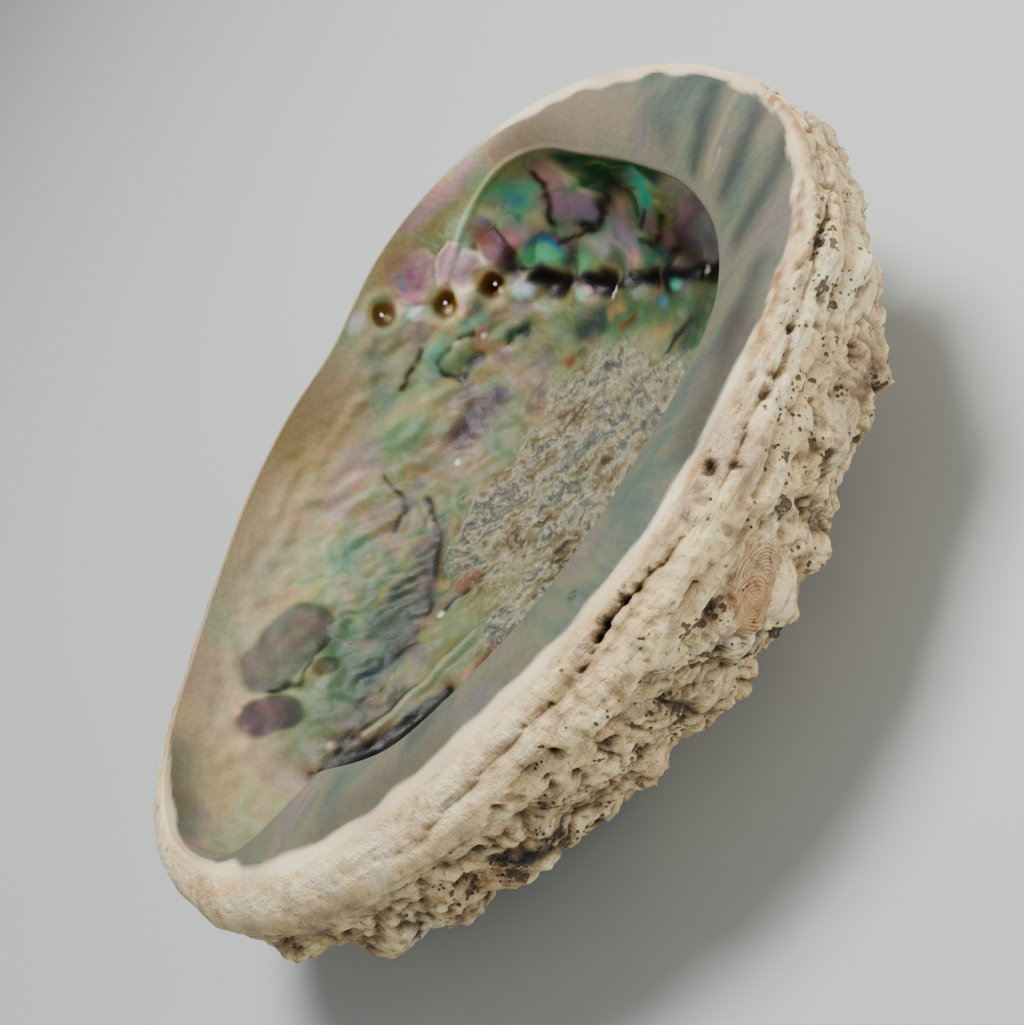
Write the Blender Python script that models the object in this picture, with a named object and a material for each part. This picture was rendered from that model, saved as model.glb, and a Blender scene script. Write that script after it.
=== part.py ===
"""An empty abalone shell lying on its back, with its bowl of mother-of-pearl facing up.

The shell is one grown piece. Its surface is a loft of sections around an upright axis: each section runs
from the middle of the bowl, under the overhanging shelf, over the lip and the rim, and down the crusted
outside to the middle of the back. +X is the side with the broad shelf, +Y the spire end, +Z up.
"""
import math

import bmesh
import bpy
import numpy as np
from mathutils import Vector, noise

NODE = "abalone_shell"
MM = 0.001

# Sizes in mm; heights are measured from the plane of the rim, with up positive
FLOOR_DEPTH = 44.0        # the middle of the bowl, below the rim
BACK_DEPTH = 52.0         # the middle of the outside, below the rim
REST_DEPTH = 51.0         # lumps of the back are worn flat here, where the shell rests
THIN_SIDE_DROP = 7.0      # the thin side of the rim dips, most at THIN_SIDE
THIN_SIDE = 195.0
LIP_DROP = 4.0            # the shelf's inner edge, below the rim
LIP_EDGE = 0.9            # half the thickness of that edge
HOLLOW_DROP = 14.0        # the widest part of the hollow under the shelf, below the lip
BOWL_POWER = 2.3          # squareness of the bowl's section; 2 is an ellipse
OPEN_POWER = 2.3

# Centre of the loft in the shell's frame, so that the outside is centred on the origin
CENTRE_X = 1.4
CENTRE_Y = 0.35

# Radii every 15 degrees from +X towards +Y: the outer edge of the nacre, and the inner edge of the shelf
RIM_RADII = (62.5, 65.0, 70.5, 79.0, 84.0, 85.5, 85.5, 86.0, 86.5, 85.5, 81.0, 71.5,
             72.0, 71.5, 70.5, 72.0, 77.0, 80.5, 79.0, 76.0, 70.0, 64.0, 61.0, 60.5)
LIP_RADII = (44.5, 47.0, 52.5, 60.0, 64.5, 66.5, 68.0, 72.0, 80.0, 81.0, 77.0, 67.0,
             66.0, 66.0, 65.0, 66.0, 68.0, 66.0, 61.0, 56.0, 53.0, 48.0, 45.0, 44.0)
# The chalky band outside the nacre, every 30 degrees: how far it reaches out, and how far it falls
BAND_WIDTHS = (6.5, 5.0, 1.5, 1.2, 1.2, 1.5, 1.5, 2.5, 6.5, 7.5, 7.0, 6.5)
BAND_FALLS = (7.0, 6.0, 4.0, 3.0, 3.0, 3.0, 3.0, 4.0, 6.0, 7.0, 7.0, 7.0)
# Squareness of the back's section, every 60 degrees
BACK_POWERS = (2.35, 2.45, 2.6, 2.0, 2.0, 2.3)

# Around the section: full at the two middle bearings, gone at the outer two
SHELF = (258.0, 284.0, 126.0, 160.0)
DEEP_HOLLOW = (275.0, 330.0, 70.0, 140.0)
HOLLOW_SHARE = 0.72       # the hollow reaches this far under the shelf's width

# Places in the loft, in mm from its middle and from the plane of the rim
PORE_ROW = ((-69.4, 30.8, -11.8), (-63.6, 37.5, -17.1), (-59.5, 47.5, -26.2), (-49.5, 53.0, -31.5),
            (-36.5, 55.5, -34.8), (-24.6, 58.8, -34.9), (-6.6, 63.4, -34.6))
OPEN_PORES = 3            # the newest pores of the row go through the wall
PORE_INNER_RADIUS = 1.7
PORE_OUTER_RADIUS = 1.3
PORE_CUT_LENGTH = 24.0
SCAR_CENTRE = (-17.0, 13.0)
SCAR_REACH = (31.0, 37.0)
BLISTERS = (((-50.2, -41.4, -22.8), 12.0, 0.8), ((-41.7, -54.3, -21.7), 8.0, 0.8))
# Barnacles and worm tubes grown on to the crust: place, radius and height
GROWTHS = (((68.1, 1.3, -17.3), 9.0, 2.5), ((65.7, -14.3, -11.0), 6.0, 1.5), ((62.0, 43.0, -28.0), 8.0, 1.5))

# Rings of the section, and bearings around it
BEARINGS = 96
FLOOR_RINGS = 18
HOLLOW_RINGS = 5
LIP_RINGS = 2
SHELF_RINGS = 5
BAND_RINGS = 3
BACK_RINGS = 24


def smooth(x):
    x = np.clip(x, 0.0, 1.0)
    return x * x * (3.0 - 2.0 * x)


def window(bearing, a, b, c, d):
    """1 from bearing b round to c, falling smoothly to 0 at a and at d."""
    turn = (bearing - a) % 360.0
    up = turn / ((b - a) % 360.0)
    down = ((d - a) % 360.0 - turn) / ((d - c) % 360.0)
    return smooth(np.minimum(up, down))


def around(values, bearing):
    """A smooth closed curve through values given at even steps of bearing."""
    values = np.asarray(values, float)
    place = bearing / 360.0 * len(values)
    k = np.floor(place).astype(int)
    f = place - k
    a, b, c, d = (values[(k + i) % len(values)] for i in (-1, 0, 1, 2))
    return b + 0.5 * f * (c - a + f * (2 * a - 5 * b + 4 * c - d + f * (3 * (b - c) + d - a)))


def even(r, z, steps):
    """The sections r, z (one a row) with their points moved to even steps along them."""
    length = np.hypot(np.diff(r, axis=1), np.diff(z, axis=1)).cumsum(axis=1)
    length = np.hstack([np.zeros((len(r), 1)), length])
    wanted = length[:, -1:] * np.linspace(0.0, 1.0, steps + 1)
    even_r = np.array([np.interp(w, l, row) for w, l, row in zip(wanted, length, r)])
    even_z = np.array([np.interp(w, l, row) for w, l, row in zip(wanted, length, z)])
    return even_r, even_z


def bowl_curve(radius, depth, power, top):
    """Quarter superellipses from the axis, depth below top, out to radius at top."""
    angle = np.linspace(0.0, math.pi / 2, 80)
    bend = 2.0 / np.broadcast_to(power, radius.shape)[:, None]
    r = radius[:, None] * np.sin(angle) ** bend
    z = top[:, None] - depth[:, None] * np.cos(angle) ** bend
    return r, z


def join(pieces):
    """Section pieces end to end, each without its last column but the last."""
    r = np.hstack([p[0][:, :-1] for p in pieces[:-1]] + [pieces[-1][0]])
    z = np.hstack([p[1][:, :-1] for p in pieces[:-1]] + [pieces[-1][1]])
    return r, z


def rim_drop(bearing):
    dip = np.clip(np.cos(np.radians(bearing - THIN_SIDE)), 0.0, 1.0)
    return THIN_SIDE_DROP * dip ** 1.5


def inner_section(bearing):
    """From the middle of the bowl to the rim: a bowl on the thin side, a hollow, a lip and a shelf on the other."""
    rim_r = around(RIM_RADII, bearing)
    lip_r = around(LIP_RADII, bearing)
    rim_z = -rim_drop(bearing)
    lip_z = rim_z * 0.6 - LIP_DROP
    steps = FLOOR_RINGS + HOLLOW_RINGS + LIP_RINGS + SHELF_RINGS
    bare = even(*bowl_curve(rim_r, rim_z + FLOOR_DEPTH, OPEN_POWER, rim_z), steps)

    hollow = HOLLOW_SHARE * (rim_r - lip_r) * window(bearing, *DEEP_HOLLOW)
    wide_r = lip_r + hollow
    wide_z = lip_z - HOLLOW_DROP
    floor = even(*bowl_curve(wide_r, wide_z + FLOOR_DEPTH, BOWL_POWER, wide_z), FLOOR_RINGS)
    turn = np.linspace(0.0, math.pi / 2, 30)
    under_z = lip_z - 2 * LIP_EDGE
    under = even(lip_r[:, None] + hollow[:, None] * np.cos(turn),
                 wide_z[:, None] + (under_z - wide_z)[:, None] * np.sin(turn), HOLLOW_RINGS)
    half = np.linspace(-math.pi / 2, math.pi / 2, 12)
    lip = even(lip_r[:, None] - LIP_EDGE * np.cos(half),
               (lip_z - LIP_EDGE)[:, None] + LIP_EDGE * np.sin(half), LIP_RINGS)
    along = np.linspace(0.0, 1.0, 20)
    shelf = even(lip_r[:, None] + (rim_r - lip_r)[:, None] * along,
                 lip_z[:, None] + (rim_z - lip_z)[:, None] * along + 1.2 * np.sin(math.pi * along), SHELF_RINGS)
    full = join([floor, under, lip, shelf])

    share = window(bearing, *SHELF)[:, None]
    return bare[0] * (1 - share) + full[0] * share, bare[1] * (1 - share) + full[1] * share


def outer_section(bearing):
    """From the rim over the chalky band and down to the middle of the back."""
    rim_r = around(RIM_RADII, bearing)
    rim_z = -rim_drop(bearing)
    width = around(BAND_WIDTHS, bearing)
    fall = around(BAND_FALLS, bearing)
    turn = np.linspace(0.0, math.pi / 2, 20)
    band = even(rim_r[:, None] + width[:, None] * np.sin(turn),
                rim_z[:, None] - fall[:, None] * (1 - np.cos(turn)), BAND_RINGS)
    edge_z = rim_z - fall
    power = around(BACK_POWERS, bearing)
    back = even(*bowl_curve(rim_r + width, edge_z + BACK_DEPTH, power, edge_z), BACK_RINGS)
    return join([band, (back[0][:, ::-1], back[1][:, ::-1])])


def shell_grid(count):
    """Points of the smooth shell in mm, indexed by bearing and by ring from the bowl to the back."""
    bearing = np.arange(count) * 360.0 / count
    r, z = join([inner_section(bearing), outer_section(bearing)])
    angle = np.radians(bearing)[:, None]
    return np.stack([r * np.cos(angle), r * np.sin(angle), z], axis=2)


def grid_normals(grid):
    """Unit normals of the grid, pointing out of the shell's material."""
    around_step = np.roll(grid, -1, axis=0) - np.roll(grid, 1, axis=0)
    along_step = np.gradient(grid, axis=1)
    normal = np.cross(along_step, around_step)
    length = np.linalg.norm(normal, axis=2, keepdims=True)
    normal = normal / np.maximum(length, 1e-9)
    normal[:, 0] = (0.0, 0.0, 1.0)
    normal[:, -1] = (0.0, 0.0, -1.0)
    return normal


def noise_at(points, size):
    """Smooth noise of one lump size in mm, between about -1 and 1."""
    return np.array([noise.noise(Vector(p) / size) for p in points])


def knobs_at(points, size, fill):
    """Rounded knobs scattered about size mm apart, 0 to 1; fill is how much of the surface they cover."""
    nearest = np.array([noise.voronoi(Vector(p) / size)[0][0] for p in points])
    return smooth(1.0 - nearest / fill)


def bump(points, centre, radius):
    """1 at a centre, falling smoothly to 0 at a radius in mm."""
    return smooth(1.0 - np.linalg.norm(points - np.array(centre), axis=1) / radius)


def pore_relief(points):
    """A funnel at each pore of the row, with a smooth swelling between each and the next."""
    height = np.zeros(len(points))
    for centre in PORE_ROW:
        height -= 2.6 * bump(points, centre, 6.0)
    for a, b in zip(PORE_ROW[:-1], PORE_ROW[1:]):
        height += 1.0 * bump(points, (np.array(a) + np.array(b)) / 2, 5.0)
    return height


def scar_area(points):
    """1 on the rough muscle scar in the middle of the bowl, 0 outside it."""
    across = (points[:, 0] - SCAR_CENTRE[0]) / SCAR_REACH[0]
    along = (points[:, 1] - SCAR_CENTRE[1]) / SCAR_REACH[1]
    return smooth((1.0 - np.hypot(across, along)) * 5.0)


def nacre_relief(points, bearing):
    """How far the bowl's surface stands in from the smooth form, in mm."""
    deep = smooth((-8.0 - points[:, 2]) / 8.0)
    scar = scar_area(points)
    hammered = window(bearing, 70.0, 95.0, 145.0, 165.0) * deep * (1.0 - scar)
    height = deep * 0.5 * noise_at(points, 16.0)
    height += hammered * (1.4 * knobs_at(points, 9.0, 0.8) - 0.6)
    height += scar * (0.8 + 0.9 * noise_at(points, 7.0))
    height += pore_relief(points)
    for centre, radius, rise in BLISTERS:
        height += rise * smooth(2.0 * bump(points, centre, radius))
    return height


def crust_relief(points, bearing):
    """How far the crust stands out from the smooth back, in mm; the thin side is smoother."""
    thick = window(bearing, 215.0, 300.0, 70.0, 130.0)
    below_band = smooth((-points[:, 2] - 6.0) / 8.0)
    rough = 0.35 + 0.65 * thick
    height = 1.4 * noise_at(points, 17.0) + 1.4 * noise_at(points, 9.0)
    height += 3.6 * knobs_at(points + 40.0, 12.0, 0.7) - 1.0
    height *= rough * (0.2 + 0.8 * below_band)
    ledge = smooth((points[:, 2] + 11.0) / 3.0) * smooth((-2.0 - points[:, 2]) / 3.0)
    height += 1.8 * ledge * window(bearing, 300.0, 325.0, 15.0, 30.0)
    for centre, radius, rise in GROWTHS:
        height += rise * bump(points, centre, radius)
    return np.maximum(height, -1.0)


def ring_steps(grid):
    """Every ring takes each bearing, or every second, fourth or eighth near the two middles."""
    edges = np.linalg.norm(np.roll(grid, -1, axis=0) - grid, axis=2).mean(axis=0)
    widest = edges.max()
    steps = np.ones(grid.shape[1], int)
    for limit, step in ((0.42, 2), (0.21, 4), (0.105, 8)):
        steps[edges < widest * limit] = step
    return steps


def strip_faces(near, far):
    """Triangles between two rings, where one may have twice as many corners as the other."""
    if len(near) > len(far):
        return [tuple(reversed(face)) for face in strip_faces(far, near)]
    faces = []
    ratio = len(far) // len(near)
    for k, corner in enumerate(near):
        following = near[(k + 1) % len(near)]
        fine = [far[(k * ratio + i) % len(far)] for i in range(ratio + 1)]
        middle = ratio // 2
        for i in range(ratio):
            faces.append((corner if i < max(middle, 1) else following, fine[i], fine[i + 1]))
        faces.append((corner, fine[max(middle, 1)], following))
    return faces


def shell_mesh(grid, steps):
    """A closed mesh in metres from the rings of the grid."""
    points = [grid[:, 0].mean(axis=0)]
    rings = []
    for j in range(1, grid.shape[1] - 1):
        ring = grid[::steps[j], j]
        rings.append(list(range(len(points), len(points) + len(ring))))
        points.extend(ring)
    points.append(grid[:, -1].mean(axis=0))
    faces = []
    for k, corner in enumerate(rings[0]):
        faces.append((0, corner, rings[0][(k + 1) % len(rings[0])]))
    for near, far in zip(rings[:-1], rings[1:]):
        faces.extend(strip_faces(near, far))
    for k, corner in enumerate(rings[-1]):
        faces.append((len(points) - 1, rings[-1][(k + 1) % len(rings[-1])], corner))
    mesh = bpy.data.meshes.new(NODE)
    mesh.from_pydata([tuple(p * MM) for p in np.array(points)], [], faces)
    mesh.validate()
    return mesh


def relief_grid(grid):
    """The smooth grid with its relief, set down on the ground and centred."""
    normal = grid_normals(grid)
    rim = FLOOR_RINGS + HOLLOW_RINGS + LIP_RINGS + SHELF_RINGS
    bearing = np.broadcast_to((np.arange(len(grid)) * 360.0 / len(grid))[:, None], grid.shape[:2])
    height = np.zeros(grid.shape[:2])
    bowl = slice(0, FLOOR_RINGS + HOLLOW_RINGS)
    height[:, bowl] = nacre_relief(grid[:, bowl].reshape(-1, 3), bearing[:, bowl].ravel()).reshape(len(grid), -1)
    back = slice(rim + 1, grid.shape[1])
    height[:, back] = crust_relief(grid[:, back].reshape(-1, 3), bearing[:, back].ravel()).reshape(len(grid), -1)
    grid = grid + normal * height[:, :, None]
    grid[:, :, 2] = np.maximum(grid[:, :, 2], -REST_DEPTH) + REST_DEPTH
    return grid + np.array((CENTRE_X, CENTRE_Y, 0.0))


def pore_cutters(grid, collection):
    """Tapered cutters through the wall at the open pores, square to the wall."""
    normal = grid_normals(grid)
    bowl = grid[:, :FLOOR_RINGS + HOLLOW_RINGS + LIP_RINGS + SHELF_RINGS].reshape(-1, 3)
    normal = normal[:, :FLOOR_RINGS + HOLLOW_RINGS + LIP_RINGS + SHELF_RINGS].reshape(-1, 3)
    cutters = []
    for number, centre in enumerate(PORE_ROW[:OPEN_PORES]):
        nearest = np.linalg.norm(bowl - np.array(centre), axis=1).argmin()
        axis = Vector(normal[nearest])
        place = Vector(centre) + Vector((CENTRE_X, CENTRE_Y, REST_DEPTH))
        bpy.ops.mesh.primitive_cone_add(vertices=12, radius1=PORE_OUTER_RADIUS * MM, radius2=PORE_INNER_RADIUS * MM,
                                        depth=PORE_CUT_LENGTH * MM, location=place * MM,
                                        rotation=axis.to_track_quat("Z", "Y").to_euler())
        cutter = bpy.context.object
        cutter.name = f"pore_cutter_{number + 1}"
        cutter.hide_render = True
        cutter.display_type = "WIRE"
        for owner in list(cutter.users_collection):
            owner.objects.unlink(cutter)
        collection.objects.link(cutter)
        cutters.append(cutter)
    return cutters


def shell_material():
    material = bpy.data.materials.new("shell")
    material.use_nodes = True
    shader = material.node_tree.nodes["Principled BSDF"]
    shader.inputs["Base Color"].default_value = (0.62, 0.57, 0.47, 1.0)
    shader.inputs["Roughness"].default_value = 0.55
    shader.inputs["Metallic"].default_value = 0.0
    return material


def build():
    for item in list(bpy.data.objects):
        bpy.data.objects.remove(item)
    collection = bpy.data.collections.new("abalone shell")
    bpy.context.scene.collection.children.link(collection)
    smooth_grid = shell_grid(BEARINGS)
    mesh = shell_mesh(relief_grid(smooth_grid), ring_steps(smooth_grid))
    mesh.shade_smooth()
    shell = bpy.data.objects.new(NODE, mesh)
    shell.data.materials.append(shell_material())
    collection.objects.link(shell)
    cutting = bpy.data.collections.new("cutters")
    bpy.context.scene.collection.children.link(cutting)
    for cutter in pore_cutters(smooth_grid, cutting):
        cut = shell.modifiers.new(cutter.name, "BOOLEAN")
        cut.operation = "DIFFERENCE"
        cut.object = cutter
        cut.solver = "EXACT"
    return shell


if __name__ == "__main__":
    build()
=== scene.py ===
"""The abalone shell's look: a fine mesh over its form, mother-of-pearl inside and crust outside.

The form is a loft of sections around an upright axis, in mm from the loft's middle and from the plane of the
rim. It follows the solid's sections, apart from a steeper wall above the first pores and a shelf that starts
to fall 4 degrees sooner there. Relief and colours come from fixed noise, and from strokes and patches that
are each placed by the pixels where they show in the picture.
"""
import math

import bpy
import numpy as np
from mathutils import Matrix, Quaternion, Vector, noise
from mathutils.bvhtree import BVHTree


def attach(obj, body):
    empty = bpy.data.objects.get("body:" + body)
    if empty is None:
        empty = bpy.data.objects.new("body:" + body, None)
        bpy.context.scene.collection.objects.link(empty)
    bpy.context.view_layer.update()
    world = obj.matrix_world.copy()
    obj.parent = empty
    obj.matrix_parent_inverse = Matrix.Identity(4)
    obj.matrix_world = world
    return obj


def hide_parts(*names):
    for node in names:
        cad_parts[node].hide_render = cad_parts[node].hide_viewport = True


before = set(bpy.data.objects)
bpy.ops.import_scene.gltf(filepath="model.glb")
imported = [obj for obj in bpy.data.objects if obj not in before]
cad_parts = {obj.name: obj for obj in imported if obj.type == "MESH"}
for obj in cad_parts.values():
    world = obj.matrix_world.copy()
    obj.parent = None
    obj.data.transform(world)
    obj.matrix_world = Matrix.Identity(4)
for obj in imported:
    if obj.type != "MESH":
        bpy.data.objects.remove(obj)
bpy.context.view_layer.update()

NODE = "abalone_shell"
MM = 0.001
NOISE_SEED = 7
noise.seed_set(NOISE_SEED)

# The form, in mm
FLOOR_DEPTH = 44.0
BACK_DEPTH = 52.0
REST_DEPTH = 51.0
THIN_SIDE_DROP = 7.0
THIN_SIDE = 195.0
LIP_DROP = 4.0
LIP_EDGE = 0.9
HOLLOW_DROP = 14.0
BOWL_POWER = 2.3
OPEN_POWER = 2.3
STEEP_WALL = 0.5
SHELF_CROWN = 1.2
CENTRE = np.array((1.4, 0.35, REST_DEPTH))

# Radii every 15 degrees from +X towards +Y: the outer edge of the nacre, and the inner edge of the shelf
RIM_RADII = (62.5, 65.0, 70.5, 79.0, 84.0, 85.5, 85.5, 86.0, 86.5, 85.5, 81.0, 71.5,
             72.0, 71.5, 70.5, 72.0, 77.0, 80.5, 79.0, 76.0, 70.0, 64.0, 61.0, 60.5)
LIP_RADII = (44.5, 47.0, 52.5, 60.0, 64.5, 66.5, 68.0, 72.0, 80.0, 81.0, 77.0, 67.0,
             66.0, 66.0, 65.0, 66.0, 68.0, 66.0, 61.0, 56.0, 53.0, 48.0, 45.0, 44.0)

# Width and fall of the chalky band every 30 degrees, and the squareness of the back every 60
BAND_WIDTHS = (6.5, 5.0, 1.5, 1.2, 1.2, 1.5, 1.5, 2.5, 6.5, 7.5, 7.0, 6.5)
BAND_FALLS = (7.0, 6.0, 4.0, 3.0, 3.0, 3.0, 3.0, 4.0, 6.0, 7.0, 7.0, 7.0)
BACK_POWERS = (2.35, 2.45, 2.6, 2.0, 2.0, 2.3)

# Stretches around the shell: the bearings where each starts to rise, is full, starts to fall and has ended
SHELF = (258.0, 284.0, 122.0, 160.0)
PAINTED_SHELF = (250.0, 276.0, 118.0, 132.0)
DEEP_HOLLOW = (275.0, 330.0, 70.0, 140.0)
STEEP_SIDE = (85.0, 110.0, 146.0, 176.0)
KNOBBLY_SIDE = (70.0, 95.0, 145.0, 165.0)
CELLED_SIDE = (70.0, 95.0, 150.0, 168.0)
SATIN_WALL = (158.0, 172.0, 236.0, 256.0)
THICK_CRUST = (215.0, 300.0, 70.0, 130.0)
CHALKY_BAND = (130.0, 160.0, 322.0, 340.0)
THIN_RIM = (120.0, 150.0, 238.0, 250.0)
HOLLOW_SHARE = 0.72

# The row of pores: where each shows, how many are open, the holes' reach and mouth, and the funnels' depths
PORE_PIXELS = ((384, 315), (444, 305), (491, 287), (552, 286), (602, 284), (646, 278), (692, 273))
OPEN_PORES = 3
PORE_RADIUS = 1.2
PORE_MOUTH = 0.4
PORE_DEPTHS = (0.5, 2.4, 2.6, 1.6, 1.8, 1.6, 1.4)

# The muscle scar's middle and half widths, and the middle, radius and rise of swellings inside and outside
SCAR_CENTRE = (-17.0, 13.0)
SCAR_REACH = (31.0, 37.0)
BLISTERS = (((-50.2, -41.4, -22.8), 12.0, 0.8), ((-41.7, -54.3, -21.7), 8.0, 0.8))
GROWTHS = (((68.1, 1.3, -17.3), 9.0, 2.5), ((65.7, -14.3, -11.0), 6.0, 1.5), ((62.0, 43.0, -28.0), 8.0, 1.5))

# Rings of the section, and bearings around it
BEARINGS = 768
FLOOR_RINGS = 112
HOLLOW_RINGS = 24
LIP_RINGS = 6
SHELF_RINGS = 30
BAND_RINGS = 16
BACK_RINGS = 132
RIM = FLOOR_RINGS + HOLLOW_RINGS + LIP_RINGS + SHELF_RINGS

# How far the skins are tucked under each other at the rim, and how far through the wall a pore reaches, in mm
TUCK = 0.06
WALL_REACH = 14.0

# Size of the hammered cells, the radius that the flow around the shell is told at, and of the growths' ridges
CELL_SIZE = 9.0
FLOW_RADIUS = 60.0
RIDGE_SCALE = 10.0

# The camera: where it looks from, in degrees and mm, and its focal length in mm
CAMERA_AZIMUTH = -8.0
CAMERA_ELEVATION = 34.0
CAMERA_ROLL = -55.0
CAMERA_DISTANCE = 274.2
CAMERA_TARGET = np.array((28.97, -2.44, 0.0)) + CENTRE
FOCAL_LENGTH = 59.7
SENSOR = 36.0
PICTURE_WIDTH = 1024
PICTURE_HEIGHT = 1025


def srgb(red, green, blue):
    """A colour as the eye names it, 0 to 255, in linear light."""
    value = np.array((red, green, blue)) / 255.0
    return np.where(value <= 0.04045, value / 12.92, ((value + 0.055) / 1.055) ** 2.4)


IVORY = srgb(240, 221, 182)
CREAM = srgb(226, 201, 156)
BEIGE = srgb(192, 174, 148)
TAN = srgb(168, 144, 112)
PALE_SAGE = srgb(170, 176, 156)
SAGE = srgb(150, 163, 136)
SEA_GREEN = srgb(126, 164, 142)
TEAL_GREY = srgb(128, 150, 143)
TEAL = srgb(70, 138, 122)
DEEP_TEAL = srgb(30, 84, 84)
EMERALD = srgb(22, 98, 68)
BLUE = srgb(74, 112, 148)
SLATE = srgb(112, 126, 130)
LILAC = srgb(158, 146, 156)
MAUVE = srgb(140, 112, 128)
PURPLE = srgb(118, 86, 116)
PINK = srgb(196, 156, 158)
ROSE = srgb(178, 124, 124)
MOSS = srgb(142, 140, 92)
OLIVE = srgb(104, 98, 48)
LIME = srgb(186, 188, 132)
PEARL = srgb(238, 236, 230)
GREY = srgb(150, 148, 140)
BLUE_GREY = srgb(112, 120, 126)
RUST = srgb(146, 98, 52)
AMBER = srgb(92, 66, 32)
BROWN = srgb(92, 66, 40)
DARK = srgb(34, 28, 24)
BLACK = srgb(18, 18, 20)


def smooth(x):
    """The value held between 0 and 1, with a smooth start and end."""
    x = np.clip(x, 0.0, 1.0)
    return x * x * (3.0 - 2.0 * x)


def window(bearing, a, b, c, d):
    """1 from bearing b round to c, falling smoothly to 0 at a and at d."""
    turn = (bearing - a) % 360.0
    up = turn / ((b - a) % 360.0)
    down = ((d - a) % 360.0 - turn) / ((d - c) % 360.0)
    return smooth(np.minimum(up, down))


def around(values, bearing):
    """A smooth closed curve through values given at even steps of bearing."""
    values = np.asarray(values, float)
    place = bearing / 360.0 * len(values)
    k = np.floor(place).astype(int)
    f = place - k
    a, b, c, d = (values[(k + i) % len(values)] for i in (-1, 0, 1, 2))
    return b + 0.5 * f * (c - a + f * (2 * a - 5 * b + 4 * c - d + f * (3 * (b - c) + d - a)))


def even(r, z, steps):
    """The sections r, z (one a row) with their points moved to even steps along them."""
    length = np.hypot(np.diff(r, axis=1), np.diff(z, axis=1)).cumsum(axis=1)
    length = np.hstack([np.zeros((len(r), 1)), length])
    wanted = length[:, -1:] * np.linspace(0.0, 1.0, steps + 1)
    even_r = np.array([np.interp(w, l, row) for w, l, row in zip(wanted, length, r)])
    even_z = np.array([np.interp(w, l, row) for w, l, row in zip(wanted, length, z)])
    return even_r, even_z


def bowl_curve(radius, depth, power, top):
    """Quarter superellipses from the axis, depth below top, out to radius at top."""
    angle = np.linspace(0.0, math.pi / 2, 240)
    bend = 2.0 / np.broadcast_to(power, radius.shape)[:, None]
    r = radius[:, None] * np.sin(angle) ** bend
    z = top[:, None] - depth[:, None] * np.cos(angle) ** bend
    return r, z


def join(pieces):
    """Section pieces end to end, each without its last column but the last."""
    r = np.hstack([p[0][:, :-1] for p in pieces[:-1]] + [pieces[-1][0]])
    z = np.hstack([p[1][:, :-1] for p in pieces[:-1]] + [pieces[-1][1]])
    return r, z


def rim_drop(bearing):
    """How far the rim dips towards the thin side, in mm."""
    dip = np.clip(np.cos(np.radians(bearing - THIN_SIDE)), 0.0, 1.0)
    return THIN_SIDE_DROP * dip ** 1.5


def inner_section(bearing):
    """From the middle of the bowl to the rim, with the hollow, the lip and the shelf."""
    rim_r = around(RIM_RADII, bearing)
    lip_r = around(LIP_RADII, bearing)
    rim_z = -rim_drop(bearing)
    lip_z = rim_z * 0.6 - LIP_DROP
    power = OPEN_POWER + STEEP_WALL * window(bearing, *STEEP_SIDE)
    bare = even(*bowl_curve(rim_r, rim_z + FLOOR_DEPTH, power, rim_z), RIM)

    hollow = HOLLOW_SHARE * (rim_r - lip_r) * window(bearing, *DEEP_HOLLOW)
    wide_r = lip_r + hollow
    wide_z = lip_z - HOLLOW_DROP
    floor = even(*bowl_curve(wide_r, wide_z + FLOOR_DEPTH, BOWL_POWER, wide_z), FLOOR_RINGS)
    turn = np.linspace(0.0, math.pi / 2, 60)
    under_z = lip_z - 2 * LIP_EDGE
    under = even(lip_r[:, None] + hollow[:, None] * np.cos(turn),
                 wide_z[:, None] + (under_z - wide_z)[:, None] * np.sin(turn), HOLLOW_RINGS)
    half = np.linspace(-math.pi / 2, math.pi / 2, 24)
    lip = even(lip_r[:, None] - LIP_EDGE * np.cos(half),
               (lip_z - LIP_EDGE)[:, None] + LIP_EDGE * np.sin(half), LIP_RINGS)
    along = np.linspace(0.0, 1.0, 40)
    crown = SHELF_CROWN * np.sin(math.pi * along)
    shelf = even(lip_r[:, None] + (rim_r - lip_r)[:, None] * along,
                 lip_z[:, None] + (rim_z - lip_z)[:, None] * along + crown, SHELF_RINGS)
    full = join([floor, under, lip, shelf])

    share = window(bearing, *SHELF)[:, None]
    return bare[0] * (1 - share) + full[0] * share, bare[1] * (1 - share) + full[1] * share


def outer_section(bearing):
    """From the rim over the chalky band and down to the middle of the back."""
    rim_r = around(RIM_RADII, bearing)
    rim_z = -rim_drop(bearing)
    width = around(BAND_WIDTHS, bearing)
    fall = around(BAND_FALLS, bearing)
    turn = np.linspace(0.0, math.pi / 2, 40)
    band = even(rim_r[:, None] + width[:, None] * np.sin(turn),
                rim_z[:, None] - fall[:, None] * (1 - np.cos(turn)), BAND_RINGS)
    edge_z = rim_z - fall
    power = around(BACK_POWERS, bearing)
    back = even(*bowl_curve(rim_r + width, edge_z + BACK_DEPTH, power, edge_z), BACK_RINGS)
    return join([band, (back[0][:, ::-1], back[1][:, ::-1])])


def shell_grid(count):
    """Points of the smooth shell, indexed by bearing and by ring from the bowl to the back."""
    bearing = np.arange(count) * 360.0 / count
    r, z = join([inner_section(bearing), outer_section(bearing)])
    angle = np.radians(bearing)[:, None]
    return np.stack([r * np.cos(angle), r * np.sin(angle), z], axis=2)


def grid_normals(grid):
    """Unit normals of the grid, pointing out of the shell's material."""
    around_step = np.roll(grid, -1, axis=0) - np.roll(grid, 1, axis=0)
    along_step = np.gradient(grid, axis=1)
    normal = np.cross(along_step, around_step)
    normal = normal / np.maximum(np.linalg.norm(normal, axis=2, keepdims=True), 1e-9)
    normal[:, 0] = (0.0, 0.0, 1.0)
    normal[:, -1] = (0.0, 0.0, -1.0)
    return normal


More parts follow.
